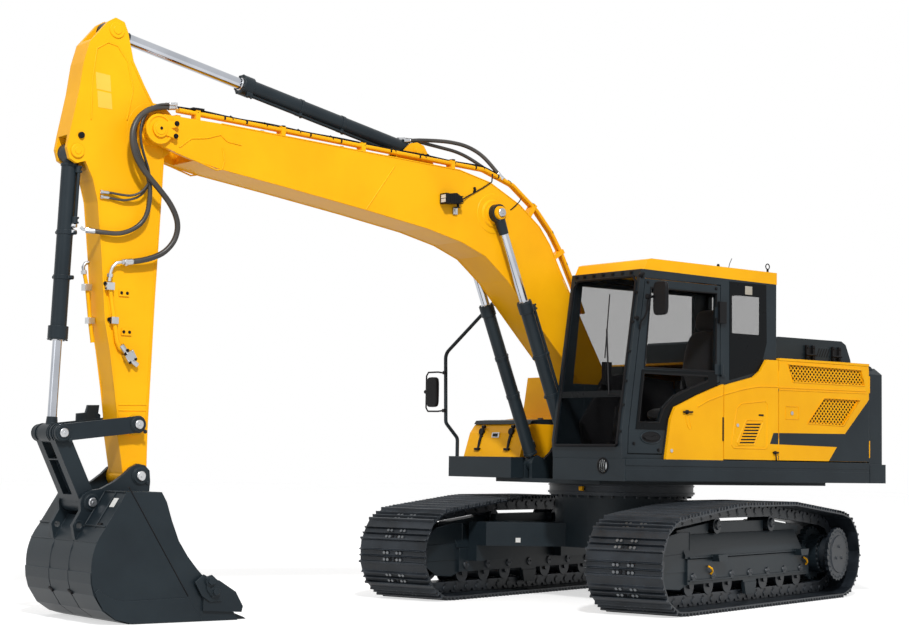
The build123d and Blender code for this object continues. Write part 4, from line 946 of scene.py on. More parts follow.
class Ram:
    """One barrel and rod, at one place across the machine, in distances from the foot."""

    def __init__(self, foot, head, length, radius, rod, sleeve, half, y, gland, port_angle, pipe_end):
        self.foot, self.head, self.y = foot, head, y
        self.length, self.radius, self.rod, self.sleeve, self.half = length, radius, rod, sleeve, half
        self.gland, self.pipe_end = gland, pipe_end
        self.reach = math.dist(foot, head)
        self.way = ((head[0] - foot[0]) / self.reach, (head[1] - foot[1]) / self.reach)
        self.out_side = math.cos(port_angle)
        self.out_y = math.sin(port_angle) * (-1 if y < 0 else 1)
        self.clamps = (length * 0.42, length * 0.66)

    def on_axis(self, distance):
        return spot(along(self.foot, self.head, distance), self.y)

    def outside(self, distance, away):
        """A point beside the barrel, on the side of its ports."""
        x, y, z = self.on_axis(distance)
        dx, dz = self.way
        lift = self.out_side * away
        return x - dz * lift, y + self.out_y * away, z + dx * lift

    def add_rings(self, barrel):
        length, radius = self.length, self.radius
        rings = [
            (length - 96, length - 4, radius + self.gland),
            (length - 60, length + 4, radius + self.gland - 3),
        ]
        rings += [(start, start + 32, radius + 5) for start in self.clamps]
        rings.append((86, 104, radius + 6))
        for start, finish, size in rings:
            barrel.round(self.on_axis(start), self.on_axis(finish), size, sides=40, hollow=self.rod + 0.5)
        dx, dz = self.way
        x, y, z = self.on_axis(length + 2)
        for index in range(GLAND_BOLTS):
            angle = 2 * math.pi * (index + 0.5) / GLAND_BOLTS
            off = radius + self.gland - 9
            side = math.sin(angle) * off
            barrel.bolt((x - dz * side, y + math.cos(angle) * off, z + dx * side), (dx, 0, dz), 9)

    def add_pipe(self, barrel, steel):
        """The side pipe with its clamps, and two ports on the barrel."""
        length, radius, pipe_end, outside = self.length, self.radius, self.pipe_end, self.outside
        off = radius + 20
        turn = 1 if pipe_end else -1
        start, near = (150, 128) if pipe_end else (length - 110, length - 70)
        finish = pipe_end or 150
        path = [outside(near, radius), outside(near, off - 6), outside(start, off), outside(finish, off)]
        path += [outside(finish + 22 * turn, off - 4), outside(finish + 30 * turn, radius - 4)]
        barrel.tube(path, 13, sides=10)
        for distance in (near, finish):
            barrel.round(outside(distance - 26, off - 6), outside(distance + 26, off - 6), 24, sides=8)
            for shift in (-18, 18):
                barrel.round(outside(distance + shift, off), outside(distance + shift, off + 26), 9, sides=6)
        for clamp in self.clamps:
            middle = clamp + 16
            barrel.round(outside(middle, radius - 4), outside(middle, off + 14), 17, sides=6)
            barrel.round(outside(middle, -radius + 4), outside(middle, -radius - 16), 13, sides=6)
        port = finish + 40 if pipe_end else 128
        for distance in (port, port + 46):
            steel.round(outside(distance, radius - 2), outside(distance, radius + 18), 19, sides=6)
            steel.round(outside(distance, radius + 17), outside(distance, radius + 32), 14, sides=16)

    def add_eye(self, eyes, steel):
        head, y, half, rod = self.head, self.y, self.half, self.rod
        for side in BOTH_SIDES:
            eyes.boss(head, y + side * half, y + side * (half + 0.6), rod + PIN_WALL, sides=96)
        eyes.boss(head, y - half - 0.4, y + half + 0.4, rod + PIN_WALL, sides=96)
        neck = (self.on_axis(self.reach - self.sleeve), self.on_axis(self.reach - rod - 20))
        eyes.round(*neck, rod + 4, rod + 10, sides=36)
        seal = (self.on_axis(self.length + 5), self.on_axis(self.length + 12))
        steel.round(*seal, rod + 9, rod + 3, sides=36, hollow=rod + 0.3)


def build_cylinder(name, barrel_body, rod_body, places, **sizes):
    """Gland ring with bolts, clamps, a side pipe, ports and the rod's dark eye."""
    barrel, steel, eyes = Shape(), Shape(), Shape()
    for y in places:
        ram = Ram(y=y, **sizes)
        ram.add_rings(barrel)
        ram.add_pipe(barrel, steel)
        ram.add_eye(eyes, steel)
    piece(barrel, f"{name}_gland", DARK, barrel_body, bevel=1.5)
    piece(steel, f"{name}_ports", MACHINED, barrel_body)
    piece(eyes, f"{name}_rod_eye", DARK, rod_body)


def build_cylinders():
    build_cylinder(
        "boom_cylinders", "boom_barrels", "boom_rods", (-262, 262),
        foot=RAM_FOOT, head=RAM_HEAD, length=1500, radius=57, rod=38, sleeve=190, half=28,
        gland=8, port_angle=math.radians(15), pipe_end=0,
    )
    build_cylinder(
        "arm_cylinder", "arm_barrel", "arm_rod", (0,),
        foot=ARM_RAM_FOOT, head=ARM_HEAD, length=1735, radius=67, rod=45, sleeve=150, half=70,
        gland=15, port_angle=math.radians(150), pipe_end=0,
    )
    build_cylinder(
        "bucket_cylinder", "bucket_barrel", "bucket_rod", (0,),
        foot=BUCKET_RAM_FOOT, head=ROD_PIN, length=1395, radius=60, rod=35, sleeve=118, half=70,
        gland=15, port_angle=math.radians(125), pipe_end=510,
    )
    shape = Shape()
    ends = Shape()
    for side in BOTH_SIDES:
        shape.boss(RAM_HEAD, side * 290, side * 316, 60, 56, sides=40)
        ends.pin_end(spot(RAM_HEAD, side * 314), (0, side, 0), 38)
    piece(shape, "boom_rod_pin_caps", YELLOW, "boom_rods")
    piece(ends, "boom_rod_pin_ends", MACHINED, "boom_rods")


# Arm

ARM_LABELS = (
    [(5480, 4062), (5360, 4052), (5347, 3928), (5468, 3936)],
    [(5462, 3924), (5346, 3916), (5333, 3796), (5450, 3800)],
)
ARM_CONTOUR = [
    (5505, 3700), (5506, 3996), (5476, 4240), (5387, 4300), (5302, 4284), (5214, 4174), (5165, 3966), (5208, 3732),
]
ARM_FRONT_EDGE = [
    (5198, 1420), (5239, 1700), (5289, 1995), (5336, 2210), (5376, 2655), (5426, 3100), (5470, 3256), (5529, 3375),
]
ARM_BACK_EDGE = [
    (4973, 1404), (4943, 2384), (4908, 3225), (4897, 3549), (4943, 3760), (5002, 3880), (5083, 4010), (5183, 4188),
]
ARM_PADS = ((5190, 2423), (5162, 2132))


def build_arm_details():
    shape = Shape()
    for side in BOTH_SIDES:
        y = side * 110
        for line in (ARM_CONTOUR, ARM_FRONT_EDGE, ARM_BACK_EDGE):
            shape.bead(line, y, 7)
        shape.bead([(5206, 1587), (4972, 1594)], y, 6)
        shape.bead([(5204, 1545), (4972, 1550)], y, 6)
        shape.boss(BUCKET_RAM_FOOT, side * 117, side * 127, 56, 50, sides=36)
        shape.boss(BUCKET_RAM_FOOT, side * 126, side * 131, 26, sides=30)
        shape.boss(ARM_HEAD, side * 110, side * 121, 66, 60, sides=36)
        shape.boss(ARM_HEAD, side * 120, side * 126, 34, sides=30)
        shape.boss(BOOM_TIP, side * 109, side * 111.5, 215, 213, sides=56)
        for x, z in ARM_PADS:
            shape.box((x - 42, x + 42), (side * 111, side * 121), (z - 26, z + 26))
    piece(shape, "arm_plates", YELLOW, "arm", bevel=1.5)
    shape = Shape()
    for label in ARM_LABELS:
        shape.prism(label, 110, 111.5)
    piece(shape, "arm_blank_labels", LABEL, "arm", smooth=False)

    shape = Shape()
    for side in BOTH_SIDES:
        shape.boss((5584, 3572), side * 110, side * 128, 24, sides=20)
        for x, z in ARM_PADS:
            for dx in (-24, 24):
                shape.bolt((x + dx, side * 121, z), (0, side, 0), 9)
        for x, z in ((5350, 2484), (5308, 2218)):
            shape.bolt((x, side * 118, z), (0, side, 0), 12)
    piece(shape, "arm_bolts", BLACK, "arm")


ARM_PIPES = (
    ([(5328, 140, 2487), (5314, 130, 2440), (5296, 130, 2330), (5272, 130, 2208)]
     + [(5246, 130, 2060), (5225, 130, 2010), (5180, 128, 1985)], 17, 12),
    ([(5420, 70, 3150), (5405, 118, 3160), (5392, 120, 3166)], 11, 10),
    ([(5420, 70, 3120), (5405, 118, 3124), (5391, 120, 3128)], 11, 10),
    ([(5403, 60, 3166), (5392, 70, 3050), (5371, 70, 2800)]
     + [(5352, 80, 2600), (5310, 112, 2330), (5275, 112, 2180)], 10, 10),
    ([(5436, -60, 2576), (5408, -60, 2457), (5374, -60, 2200), (5350, -60, 2050)], 15, 12),
)


def build_arm_pipes():
    pipes = Shape()
    for path, radius, sides in ARM_PIPES:
        pipes.tube(path, radius, sides=sides)
    piece(pipes, "arm_pipes", YELLOW, "arm")
    blocks = Shape()
    blocks.prism([(5128, 2000), (5196, 1958), (5160, 1896), (5092, 1938)], 112, 168)
    blocks.round((5215, 140, 2030), (5150, 140, 1950), 22, sides=14)
    blocks.round((5130, 140, 1925), (5075, 140, 1885), 20, sides=6)
    for x, z in ((5130, 1985), (5182, 1955), (5106, 1942), (5158, 1912)):
        blocks.bolt((x, 168, z), (0, 1, 0), 7)
    blocks.box((5292, 5352), (112, 162), (2436, 2492))
    blocks.box((5250, 5306), (112, 160), (2186, 2236))
    blocks.box((5382, 5440), (-92, -30), (2436, 2486))
    blocks.box((5348, 5402), (-92, -30), (2190, 2236))
    piece(blocks, "arm_valves", MACHINED, "arm", bevel=2)
    shape = Shape()
    for x, z in ((5172, 1992), (5190, 1962), (5104, 1930), (5150, 1902)):
        shape.bolt((x, 167, z), (0, 1, 0), 9)
    for x, z in ((5348, 2480), (5348, 2446), (5302, 2228), (5302, 2194)):
        shape.bolt((x, 137, z), (1, 0, 0.15), 8)
    piece(shape, "arm_valve_bolts", BLACK, "arm")


# Bucket

BUCKET_HALF = 532
BUCKET_SEAMS = (-130, 180)
CUTTER_EDGE = [(5546, 262), (5500, 222), (5430, 186), (5328, 169), (4816, 180), (4770, 110), (4700, 40), (4690, 6)]
CUTTER_EDGE += [(5255, 6), (5400, 38), (5500, 108), (5550, 185), (5572, 240)]
CUTTER_OUTER = [(4774, 293), (4701, 348), (4606, 296), (4541, 229), (4545, 149), (4644, 145), (4712, 190)]
CUTTER_CAP = [(4690, 330), (4640, 344), (4580, 296), (4572, 190), (4630, 176), (4676, 232)]
TOOTH_TOP = [(4556, 47), (4500, 84), (4440, 80), (4410, 68), (4410, 64), (4500, 70), (4556, 44)]
BACK_LINE = [(5604, 380), (5597, 470), (5585, 540), (5510, 680)]
HEEL_LINE = [(5604, 380), (5596, 300), (5572, 220), (5500, 110), (5400, 42), (5290, 8)]
HEEL_OUTER = [(5290, 3), (5402, 34), (5507, 103), (5581, 216), (5605, 298), (5611, 372)]


def build_bucket_plates():
    seams = Shape()
    shape = Shape()
    for side in BOTH_SIDES:
        y = side * BUCKET_HALF
        seams.bead([(5324, 985), (4812, 190)], y, 4.5)
        shape.prism(CUTTER_EDGE, y, y + side * 7)
        shape.prism(CUTTER_OUTER, side * 551, side * 566)
        shape.prism(CUTTER_CAP, side * 565, side * 580)
        for x, z in ((4652, 300), (4610, 222)):
            shape.bolt((x, side * 579, z), (0, side, 0), 30)
    for side in BOTH_SIDES:
        shape.boss((5542, 697), side * 194, side * 199, 40, sides=32, hollow=22.5)
    piece(shape, "bucket_side_plates", DARK, "bucket", bevel=2)

    shape = Shape()
    for y in BUCKET_SEAMS:
        shape.bead([(x + 1, z) for x, z in BACK_LINE], y, 6)
        shape.bead([(x + 1, z - 1) for x, z in HEEL_LINE[:3]], y, 6)
    for low, high in ((-BUCKET_HALF, -136), (-124, 174), (186, BUCKET_HALF)):
        shape.prism(HEEL_LINE + HEEL_OUTER, low, high)
        shape.boss((5566, 590), low + 3, high - 3, 5, sides=10)
    for y in (-440, -220, 0, 220, 440):
        shape.prism(TOOTH_TOP, y - 30, y + 30)
        shape.boss((4412, 36), y - 50, y + 50, 9, sides=12)
    piece(shape, "bucket_wear_plates", DARK, "bucket", smooth=False)
    # Black plugs at the seams and in one side hole are painted shade standing in for the openings.
    shape = Shape()
    for y in BUCKET_SEAMS:
        shape.round((5585, y - 28, 232), (5585, y + 28, 214), 12, sides=12)
    shape.boss((5489, 712), 400, 455, 14, sides=10)
    piece(shape, "bucket_slot_shade", BLACK, "bucket", smooth=False)
    piece(seams, "bucket_side_seams", BLACK, "bucket")


def build_bucket_welds():
    shape = Shape()
    for x, ends, z, radius in ((5500, (200, 526), 704, 7), (5500, (-200, -526), 704, 7), (5345, (200, 526), 948, 6)):
        shape.tube([(x, y, z) for y in ends], radius)
    for y in (205, 380):
        shape.bead([(5342, 952), (5508, 690)], y, 6)
    piece(shape, "bucket_back_welds", DARK, "bucket")
    shape = Shape()
    shape.prism([(5372, 904), (5412, 841), (5408, 836), (5368, 899)], 405, 470)
    piece(shape, "bucket_blank_plate", MARK, "bucket", smooth=False)

    stop = [(5409, 1460), (5212, 1460), (5212, 1515), (5230, 1525), (5223, 1588), (5321, 1585), (5336, 1528)]
    shape = Shape()
    shape.prism(stop + [(5409, 1520)], -182, -158)
    piece(shape, "guide_link_stop", DARK, "guide_links", bevel=3)


# Undercarriage

TRACK_GAUGE = 2280
SHOE_COUNT = 49
LUG_RADIUS = 400
PIN_OFFSET = 83
TUMBLER_X = 1585
CARRIER_X = 530
CARRIER_Z = 705
TOP_RUN = 900
SPROCKET = (-TUMBLER_X, LUG_RADIUS)
IDLER = (TUMBLER_X, LUG_RADIUS)
LINK_OUTLINE = (
    (-0.16, 14), (-0.16, -38), (0.05, -56), (0.95, -56), (1.12, -30), (1.12, 10),
    (0.93, 40), (0.62, 40), (0.55, 18), (0.4, 18), (0.33, 40), (0.06, 40),
)


def between(start, end, share):
    return start[0] + (end[0] - start[0]) * share, start[1] + (end[1] - start[1]) * share


def chain_pins():
    """The chain's pins, evenly spaced round the loop, as in the part's source."""
    pin_radius = LUG_RADIUS - PIN_OFFSET
    rise = TOP_RUN - PIN_OFFSET - LUG_RADIUS
    run = TUMBLER_X - CARRIER_X
    reach = math.hypot(run, rise)
    top_angle = math.pi - math.atan2(rise, run) - math.acos(pin_radius / reach)

    def on_wheel(centre_x, angle):
        return centre_x + pin_radius * math.cos(angle), LUG_RADIUS + pin_radius * math.sin(angle)

    leave = on_wheel(TUMBLER_X, top_angle)
    shoulder = (CARRIER_X, TOP_RUN - PIN_OFFSET)
    arc = pin_radius * (top_angle + math.pi / 2)
    slope = math.dist(leave, shoulder)
    lengths = [2 * TUMBLER_X, arc, slope, 2 * CARRIER_X, slope, arc]
    pins = []
    for index in range(SHOE_COUNT):
        distance = sum(lengths) * index / SHOE_COUNT
        section = 0
        while distance > lengths[section]:
            distance -= lengths[section]
            section += 1
        share = distance / lengths[section]
        if section == 0:
            pins.append((-TUMBLER_X + distance, PIN_OFFSET))
        elif section == 1:
            pins.append(on_wheel(TUMBLER_X, -math.pi / 2 + distance / pin_radius))
        elif section == 2:
            pins.append(between(leave, shoulder, share))
        elif section == 3:
            pins.append((CARRIER_X - distance, shoulder[1]))
        elif section == 4:
            pins.append(between((-shoulder[0], shoulder[1]), (-leave[0], leave[1]), share))
        else:
            pins.append(on_wheel(-TUMBLER_X, math.pi - top_angle + distance / pin_radius))
    return pins


def build_chain(name, centre):
    pins = chain_pins()
    links = Shape()
    bolts = Shape()
    shade_slots = Shape()
    for index, start in enumerate(pins):
        end = pins[(index + 1) % SHOE_COUNT]
        length = math.dist(start, end)
        dx, dz = (end[0] - start[0]) / length, (end[1] - start[1]) / length

        def point(share, height):
            x, z = between(start, end, share)
            return x + dz * height, z - dx * height

        outline = [point(*corner) for corner in LINK_OUTLINE]
        for edge in BOTH_SIDES:
            links.prism(outline, centre + edge * 91, centre + edge * 104)
            links.boss(start, centre + edge * 103, centre + edge * 112, 24, sides=14)
        for share in (0.27, 0.62):
            for across in (-86, -50, 50, 86):
                foot, top = (spot(point(share, height), centre + across) for height in (55, 70))
                bolts.round(foot, top, 14, sides=6)
        # Black plugs in each shoe are painted shade standing in for its holes.
        for across in (-22, 22):
            near, far = (spot(point(share, 57.5), centre + across) for share in (0.18, 0.36))
            shade_slots.round(near, far, 9, sides=8)
    piece(links, f"{name}_chain_links", TRACK, "undercarriage", on_tracks=True)
    piece(bolts, f"{name}_shoe_bolts", WORN, "undercarriage", on_tracks=True)
    piece(shade_slots, f"{name}_shoe_hole_shade", BLACK, "undercarriage", on_tracks=True, slot="track_steel")


def build_wheel_caps(name, centre, side):
    caps = Shape()
    for x in range(-1050, 1051, 350):
        for way in (side, -side):
            face = centre + way * 150
            caps.boss((x, 282), face - way * 2, face + way * 10, 40, 34, sides=20)
            for shift in (-22, 22):
                caps.bolt((x + shift, face + way * 9, 282), (0, way, 0), 8)
    for x in (-CARRIER_X, CARRIER_X):
        caps.boss((x, CARRIER_Z), centre + side * 104, centre + side * 122, 46, 38, sides=24)
        caps.ring_of_bolts((x, CARRIER_Z), centre + side * 121, side, 24, 5, 6)
    caps.boss(SPROCKET, centre + side * 171, centre + side * 178, 104, 98, sides=40)
    caps.ring_of_bolts(SPROCKET, centre + side * 171, side, 116, 14, 7)
    caps.ring_of_bolts(SPROCKET, centre + side * 140, side, 156, 20, 9)
    caps.boss(IDLER, centre + side * 124, centre + side * 142, 62, 54, sides=28)
    piece(caps, f"{name}_wheel_caps", TRACK, "undercarriage", on_tracks=True)

    drive = Shape()
    drive.boss(SPROCKET, centre + side * 176, centre + side * 262, 172, 160, sides=48)
    rim = []
    for index in range(96):
        angle = 2 * math.pi * index / 96
        reach = 236 if index % 4 < 2 else 246
        rim.append((SPROCKET[0] + reach * math.cos(angle), SPROCKET[1] + reach * math.sin(angle)))
    drive.prism(rim, centre + side * 258, centre + side * 290)
    drive.boss(SPROCKET, centre + side * 288, centre + side * 300, 176, 168, sides=48)
    drive.ring_of_bolts(SPROCKET, centre + side * 289, side, 212, 24, 9)
    for turn in (math.pi / 2, -math.pi / 6, math.pi * 7 / 6):
        drive.ring_of_bolts(SPROCKET, centre + side * 299, side, 70, 1, 13, first=turn)
    piece(drive, f"{name}_final_drive", TRACK, "undercarriage", on_tracks=True)


IDLER_GUARD = [
    (1080, 240), (1250, 190), (1480, 205), (1645, 290), (1685, 400), (1640, 530), (1490, 620), (1250, 655), (1080, 655),
]
ROLLER_GUARD = [(-120, 205), (-90, 95), (90, 95), (120, 205)]
FRAME_ROOF = [(-149, 440), (-149, 466), (-72, 632), (72, 632), (149, 466), (149, 440)]


def build_frame_plates(name, centre, side):
    frame_side = centre + side * 150
    plates = Shape()
    for face in BOTH_SIDES[::-1]:
        plates.prism(IDLER_GUARD, centre + face * 118, centre + face * 128)
        plates.bead(IDLER_GUARD, centre + face * 128, 5, closed=True)
    plates.prism([(-450, 600), (450, 600), (450, 728), (-450, 728)], centre - 62, centre + 62)
    for end in BOTH_SIDES:
        guard = [(end * 612, 600), (end * 1180, 600), (end * 1180, 668), (end * 612, 720)]
        plates.prism(guard, centre - 62, centre + 62)
    for face in BOTH_SIDES[::-1]:
        plates.prism(ROLLER_GUARD, centre + face * 151, centre + face * 160)
    for x in (-1000, 640):
        step = [(x - 90, 462), (x + 90, 462), (x + 70, 405), (x - 70, 405)]
        plates.prism(step, frame_side, frame_side + side * 70)
    for low in (250, 440):
        rail = [(-1160, low), (1130, low), (1130, low + 12), (-1160, low + 12)]
        plates.prism(rail, frame_side, frame_side + side * 14)
    plates.prism([(centre + across, z) for across, z in FRAME_ROOF], -1080, 1190, axis="x")
    piece(plates, f"{name}_frame_plates", DARK, "undercarriage", on_tracks=True, bevel=3)

    rings = Shape()
    for x, z in ((768, 334), (-1130, 347)):
        bend = ((-26, 6, -34), (-18, 26, -10), (6, 30, 14), (26, 6, 34))
        rings.tube([(x + dx, frame_side + side * out, z + dz) for dx, out, dz in bend], 9)
    piece(rings, f"{name}_tie_downs", YELLOW, "undercarriage", on_tracks=True)


def build_tracks():
    for name, side in (("left", 1), ("right", -1)):
        centre = side * TRACK_GAUGE / 2
        build_chain(name, centre)
        build_wheel_caps(name, centre, side)
        build_frame_plates(name, centre, side)


def build_car_body_details():
    shape = Shape()
    for index in range(36):
        angle = 2 * math.pi * index / 36
        x, y = 630 * math.cos(angle), 630 * math.sin(angle)
        shape.round((x, y, 1030), (x, y, 1046), 13, sides=6)
        shape.round((x, y, 905), (x, y, 925), 13, sides=6)
    shape.round((0, 0, 940), (0, 0, 958), 668, sides=96, hollow=655.5)
    shape.round((0, 0, 1006), (0, 0, 1018), 664, sides=96, hollow=655.5)
    piece(shape, "bearing_bolts", TRACK, "undercarriage")
    shape = Shape()
    shape.round((640, 180, 985), (665, 188, 985), 28, 26, sides=4)
    piece(shape, "bearing_grease_block", YELLOW, "undercarriage")
    ends = [(821 + 0.658 * reach + 0.752, -584 - 0.752 * reach + 0.658) for reach in (-22, 22)]
    shape = Shape()
    shape.prism(ends + [(x + 1.5, y + 1.3) for x, y in reversed(ends)], 492, 532, axis="z")
    piece(shape, "blank_square", MARK, "undercarriage", on_tracks=True, smooth=False)


def build_toolbox_fittings():
    shape = Shape()
    for y in (-1050, -620):
        shape.boss((800, 1440), y - 26, y + 26, 10, sides=12)
        shape.prism([(772, 1528), (790, 1520), (832, 1400), (846, 1330), (826, 1326), (800, 1420)], y - 14, y + 14)
        shape.box((838, 866), (y - 34, y + 34), (1312, 1334))
        shape.round((790, y, 1484), (812, y, 1488), 36, 32, sides=24)
        shape.boss((776, 1532), y - 20, y + 20, 14, sides=12)
    shape.box((434, 452), (-1200, -450), (1596, 1606))
    piece(shape, "toolbox_latches", BLACK, "upper", bevel=2)
    shape = Shape()
    shape.prism([(802, 1430), (816, 1430), (806, 1478), (792, 1478)], -890, -785)
    piece(shape, "toolbox_handle", MACHINED, "upper", bevel=2)
    shape = Shape()
    shape.prism([(806, 1440), (819, 1440), (811, 1469), (798, 1469)], -872, -803)
    piece(shape, "toolbox_grip", BLACK, "upper", bevel=2)


# Hoses


def smooth_path(points, name):
    """The line of a spline with these control points, as fine points."""
    curve = bpy.data.curves.new(name, "CURVE")
    curve.dimensions = "3D"
    curve.resolution_u = 8
    spline = curve.splines.new("NURBS")
    spline.points.add(len(points) - 1)
    for target, source in zip(spline.points, points):
        target.co = (*place(*source), 1)
    spline.order_u = 3
    spline.use_endpoint_u = True
    holder = bpy.data.objects.new(name, curve)
    mesh = bpy.data.meshes.new_from_object(holder)
    line = [vertex.co.copy() for vertex in mesh.vertices]
    bpy.data.objects.remove(holder)
    bpy.data.curves.remove(curve)
    bpy.data.meshes.remove(mesh)
    return line


def hose(name, points, radius, body, other):
    """A rubber hose along a smooth curve between two bodies, with steel ends that ride on them."""
    line = smooth_path(points, name + "_line")
    in_mm = [(point.x * 1000 + MIDDLE_X, point.y * 1000, point.z * 1000) for point in line]
    shape = Shape()
    shape.tube(in_mm, radius, sides=14)
    rubber = piece(shape, name, RUBBER, None)
    tuple(line[0])
    tuple(line[-1])
    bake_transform(rubber)
    tuple(line[0])
    round(sum((after - before).length for before, after in zip(line, line[1:])), 3)
    [tuple(point) for point in line]
    for end, tip, inner, rider in (("near", in_mm[0], in_mm[1], body), ("far", in_mm[-1], in_mm[-2], other)):
        tip = Vector(tip)
        way = (Vector(inner) - tip).normalized()
        fitting = Shape()
        fitting.round(tip - way * 30, tip + way * 34, radius + 3, sides=20)
        fitting.round(tip - way * 30, tip - way * 12, radius + 6, sides=6)
        fitting.round(tip + way * 33, tip + way * 40, radius + 5, radius + 1, sides=20)
        piece(fitting, f"{name}_{end}_fitting", MACHINED, rider)


BIG_LOOP = [
    (4862, 175, 3868), (4974, 190, 3850), (5069, 210, 3820), (5160, 225, 3760), (5224, 240, 3660), (5232, 245, 3560),
    (5203, 245, 3450), (5141, 245, 3359), (5068, 240, 3291), (4978, 235, 3210), (4886, 230, 3120), (4820, 225, 3013),
    (4803, 215, 2923), (4829, 205, 2830), (4898, 195, 2749), (4976, 185, 2706), (5094, 170, 2667), (5189, 160, 2653),
]
SECOND_LOOP = [
    (4856, 138, 3872), (4986, 150, 3861), (5115, 170, 3796), (5181, 190, 3694), (5192, 200, 3585), (5157, 205, 3475),
    (5094, 205, 3368), (5046, 200, 3267), (5036, 190, 3133), (5052, 180, 3018), (5103, 170, 2939), (5183, 165, 2887),
    (5279, 160, 2856), (5423, 150, 2860), (5490, 118, 2868),
]
THIN_LOOP = [
    (4866, 206, 3884), (4989, 210, 3872), (5095, 215, 3803), (5150, 222, 3696), (5153, 228, 3574), (5116, 228, 3456),
    (5068, 222, 3356), (5054, 210, 3267), (5103, 190, 3187), (5175, 168, 3152), (5248, 148, 3154), (5323, 130, 3164),
    (5385, 122, 3165),
]
THIN_LOOP_LOW = [
    (4866, 140, 3892), (4981, 166, 3880), (5079, 184, 3800), (5123, 186, 3690), (5130, 186, 3570), (5092, 186, 3453),
    (5045, 184, 3352), (5039, 178, 3254), (5095, 165, 3162), (5167, 150, 3128), (5243, 138, 3114), (5320, 127, 3124),
    (5385, 122, 3127),
]
ARM_CYLINDER_HOSE = [
    (2545, 45, 3890), (2450, 50, 3908), (2368, 60, 3915), (2237, 70, 3925), (2105, 80, 3929), (1949, 95, 3915),
    (1817, 120, 3863), (1720, 150, 3780), (1620, 172, 3672),
]
ARM_CYLINDER_HOSE_LOW = [
    (2575, 10, 3904), (2480, 15, 3916), (2337, 22, 3898), (2173, 32, 3880), (2018, 45, 3862), (1902, 65, 3824),
    (1799, 100, 3765), (1710, 134, 3706),
]


def build_hoses():
    hose("boom_hose_large", BIG_LOOP, 22, "boom", "arm")
    hose("boom_hose_second", SECOND_LOOP, 18, "boom", "arm")
    hose("boom_hose_thin", THIN_LOOP, 9, "boom", "arm")
    hose("boom_hose_thin_low", THIN_LOOP_LOW, 9, "boom", "arm")
    hose("arm_cylinder_hose", ARM_CYLINDER_HOSE, 17, "arm_barrel", "boom")
    hose("arm_cylinder_hose_low", ARM_CYLINDER_HOSE_LOW, 15, "arm_barrel", "boom")
    bend = [(5185, 160, 2653), (5230, 158, 2652), (5280, 154, 2641), (5310, 147, 2608)]
    elbow = Shape()
    elbow.tube(bend + [(5322, 142, 2565), (5328, 140, 2500)], 13, sides=14)
    elbow.round((5208, 159, 2653), (5240, 158, 2652), 20, sides=6)
    elbow.round((5322, 142, 2556), (5325, 141, 2532), 24, sides=6)
    elbow.round((5478, 124, 2866), (5516, 104, 2872), 18, sides=6)
    elbow.tube([(5510, 106, 2871), (5538, 96, 2876), (5552, 94, 2890)], 11, sides=12)
    elbow.tube([(5436, -60, 2560), (5446, -60, 2612), (5430, -60, 2640), (5400, -60, 2650)], 14, sides=12)
    elbow.round((5437, -60, 2560), (5441, -60, 2586), 22, sides=6)
    piece(elbow, "arm_elbows", MACHINED, "arm")


# Floor, camera and light

FLOOR_HALF = 60
FLOOR_GLOW = 0.62
WORLD_LIGHT = 0.5
LENS = 74.77
SENSOR_WIDTH = 36
CAMERA_SHIFT = (0.0150, -0.0155)
CAMERA_PLACE = (10.2565, 12.741, 1.227)
CAMERA_TURN = (-127.46, 4.61, 0.97)
FAR_CLIP = 300
WHITE = (1, 1, 1, 1)


def pale_for_camera(tree, plain, seen):
    """A strength that is one value for light on the object and another where the camera looks."""
    rays = add_node(tree, "LightPath", {}).outputs
    direct = add_node(tree, "Math", {0: rays["Is Camera Ray"], 1: rays["Is Glossy Ray"]}, operation="MAXIMUM")
    looks = {0: direct.outputs["Value"], 1: rays["Is Transmission Ray"]}
    either = add_node(tree, "Math", looks, operation="MAXIMUM")
    strength = add_node(tree, "MapRange", {"To Min": plain, "To Max": seen, "Value": either.outputs["Value"]})
    return strength.outputs["Result"]


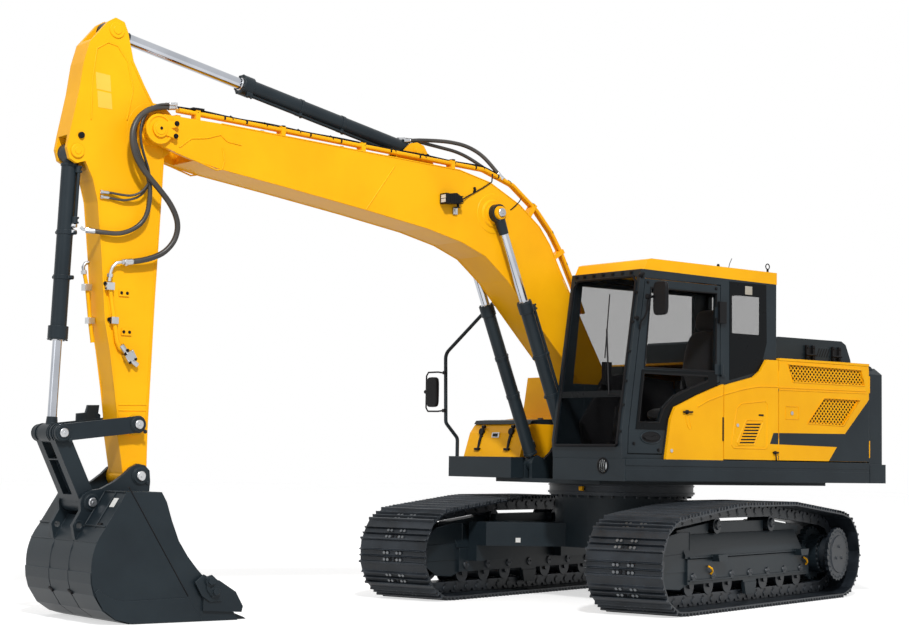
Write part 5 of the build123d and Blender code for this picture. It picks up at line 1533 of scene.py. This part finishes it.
def build_floor():
    mesh = bpy.data.meshes.new("floor")
    corners = [(-FLOOR_HALF, -FLOOR_HALF, 0), (FLOOR_HALF, -FLOOR_HALF, 0)]
    corners += [(FLOOR_HALF, FLOOR_HALF, 0), (-FLOOR_HALF, FLOOR_HALF, 0)]
    mesh.from_pydata(corners, [], [(0, 1, 2, 3)])
    floor = bpy.data.objects.new("floor", mesh)
    bpy.context.collection.objects.link(floor)
    ground = finish_material("floor", (0.58, 0.58, 0.58), (0.62, 0.62, 0.62), (0.8, 0.9), edge=0.0, patch=0.3)
    tree = ground.node_tree
    glow = {"Emission Color": WHITE, "Emission Strength": pale_for_camera(tree, 0.0, FLOOR_GLOW)}
    set_inputs(tree, tree.nodes["Principled BSDF"], glow)
    mesh.materials.append(ground)
    floor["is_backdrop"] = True


def build_camera():
    data = bpy.data.cameras.new("camera")
    data.lens = LENS
    data.sensor_width = SENSOR_WIDTH
    data.shift_x, data.shift_y = CAMERA_SHIFT
    data.clip_end = FAR_CLIP
    camera = bpy.data.objects.new("camera", data)
    bpy.context.collection.objects.link(camera)
    yaw, pitch, roll = (math.radians(turn) for turn in CAMERA_TURN)
    ahead = Vector((math.cos(pitch) * math.cos(yaw), math.cos(pitch) * math.sin(yaw), math.sin(pitch)))
    right = ahead.cross(Vector((0, 0, 1))).normalized()
    up = right.cross(ahead)
    right_rolled = math.cos(roll) * right + math.sin(roll) * up
    up_rolled = -math.sin(roll) * right + math.cos(roll) * up
    matrix = Matrix((right_rolled, up_rolled, -ahead)).transposed().to_4x4()
    matrix.translation = Vector(CAMERA_PLACE)
    camera.matrix_world = matrix
    bpy.context.scene.camera = camera


def area_light(name, where, target, size, power):
    data = bpy.data.lights.new(name, "AREA")
    data.shape = "DISK"
    data.size = size
    data.energy = power
    lamp = bpy.data.objects.new(name, data)
    bpy.context.collection.objects.link(lamp)
    lamp.location = where
    lamp.rotation_euler = (Vector(target) - Vector(where)).to_track_quat("-Z", "Y").to_euler()


def build_lights():
    world = bpy.data.worlds.new("studio")
    world.use_nodes = True
    tree = world.node_tree
    glow = {"Color": WHITE, "Strength": pale_for_camera(tree, WORLD_LIGHT, 1.0)}
    set_inputs(tree, tree.nodes["Background"], glow)
    bpy.context.scene.world = world
    area_light("key", where=(9.5, 14.5, 15.5), target=(0.5, 0, 1.8), size=1.6, power=3500)
    area_light("fill", where=(14, 2, 5), target=(0, 0, 2), size=6, power=100)
    bpy.context.scene.view_settings.view_transform = "Standard"


build_left_panels()
build_grilles()
build_hood_details()
build_deck_details()
build_cab_door_details()
build_cab_front_details()
build_door_fittings()
build_cab_fittings()
build_seat()
build_mirrors()
build_link_pins()
build_boom_plates()
build_boom_fittings()
build_work_lamp()
build_boom_cables()
build_cylinders()
build_arm_details()
build_arm_pipes()
build_bucket_plates()
build_bucket_welds()
build_tracks()
build_car_body_details()
build_toolbox_fittings()
build_hoses()
build_floor()
build_camera()
build_lights()


def plain(box):
    return [[float(value) for value in corner] for corner in box]


{"cad": plain(cad_box), "visual": plain(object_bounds())}
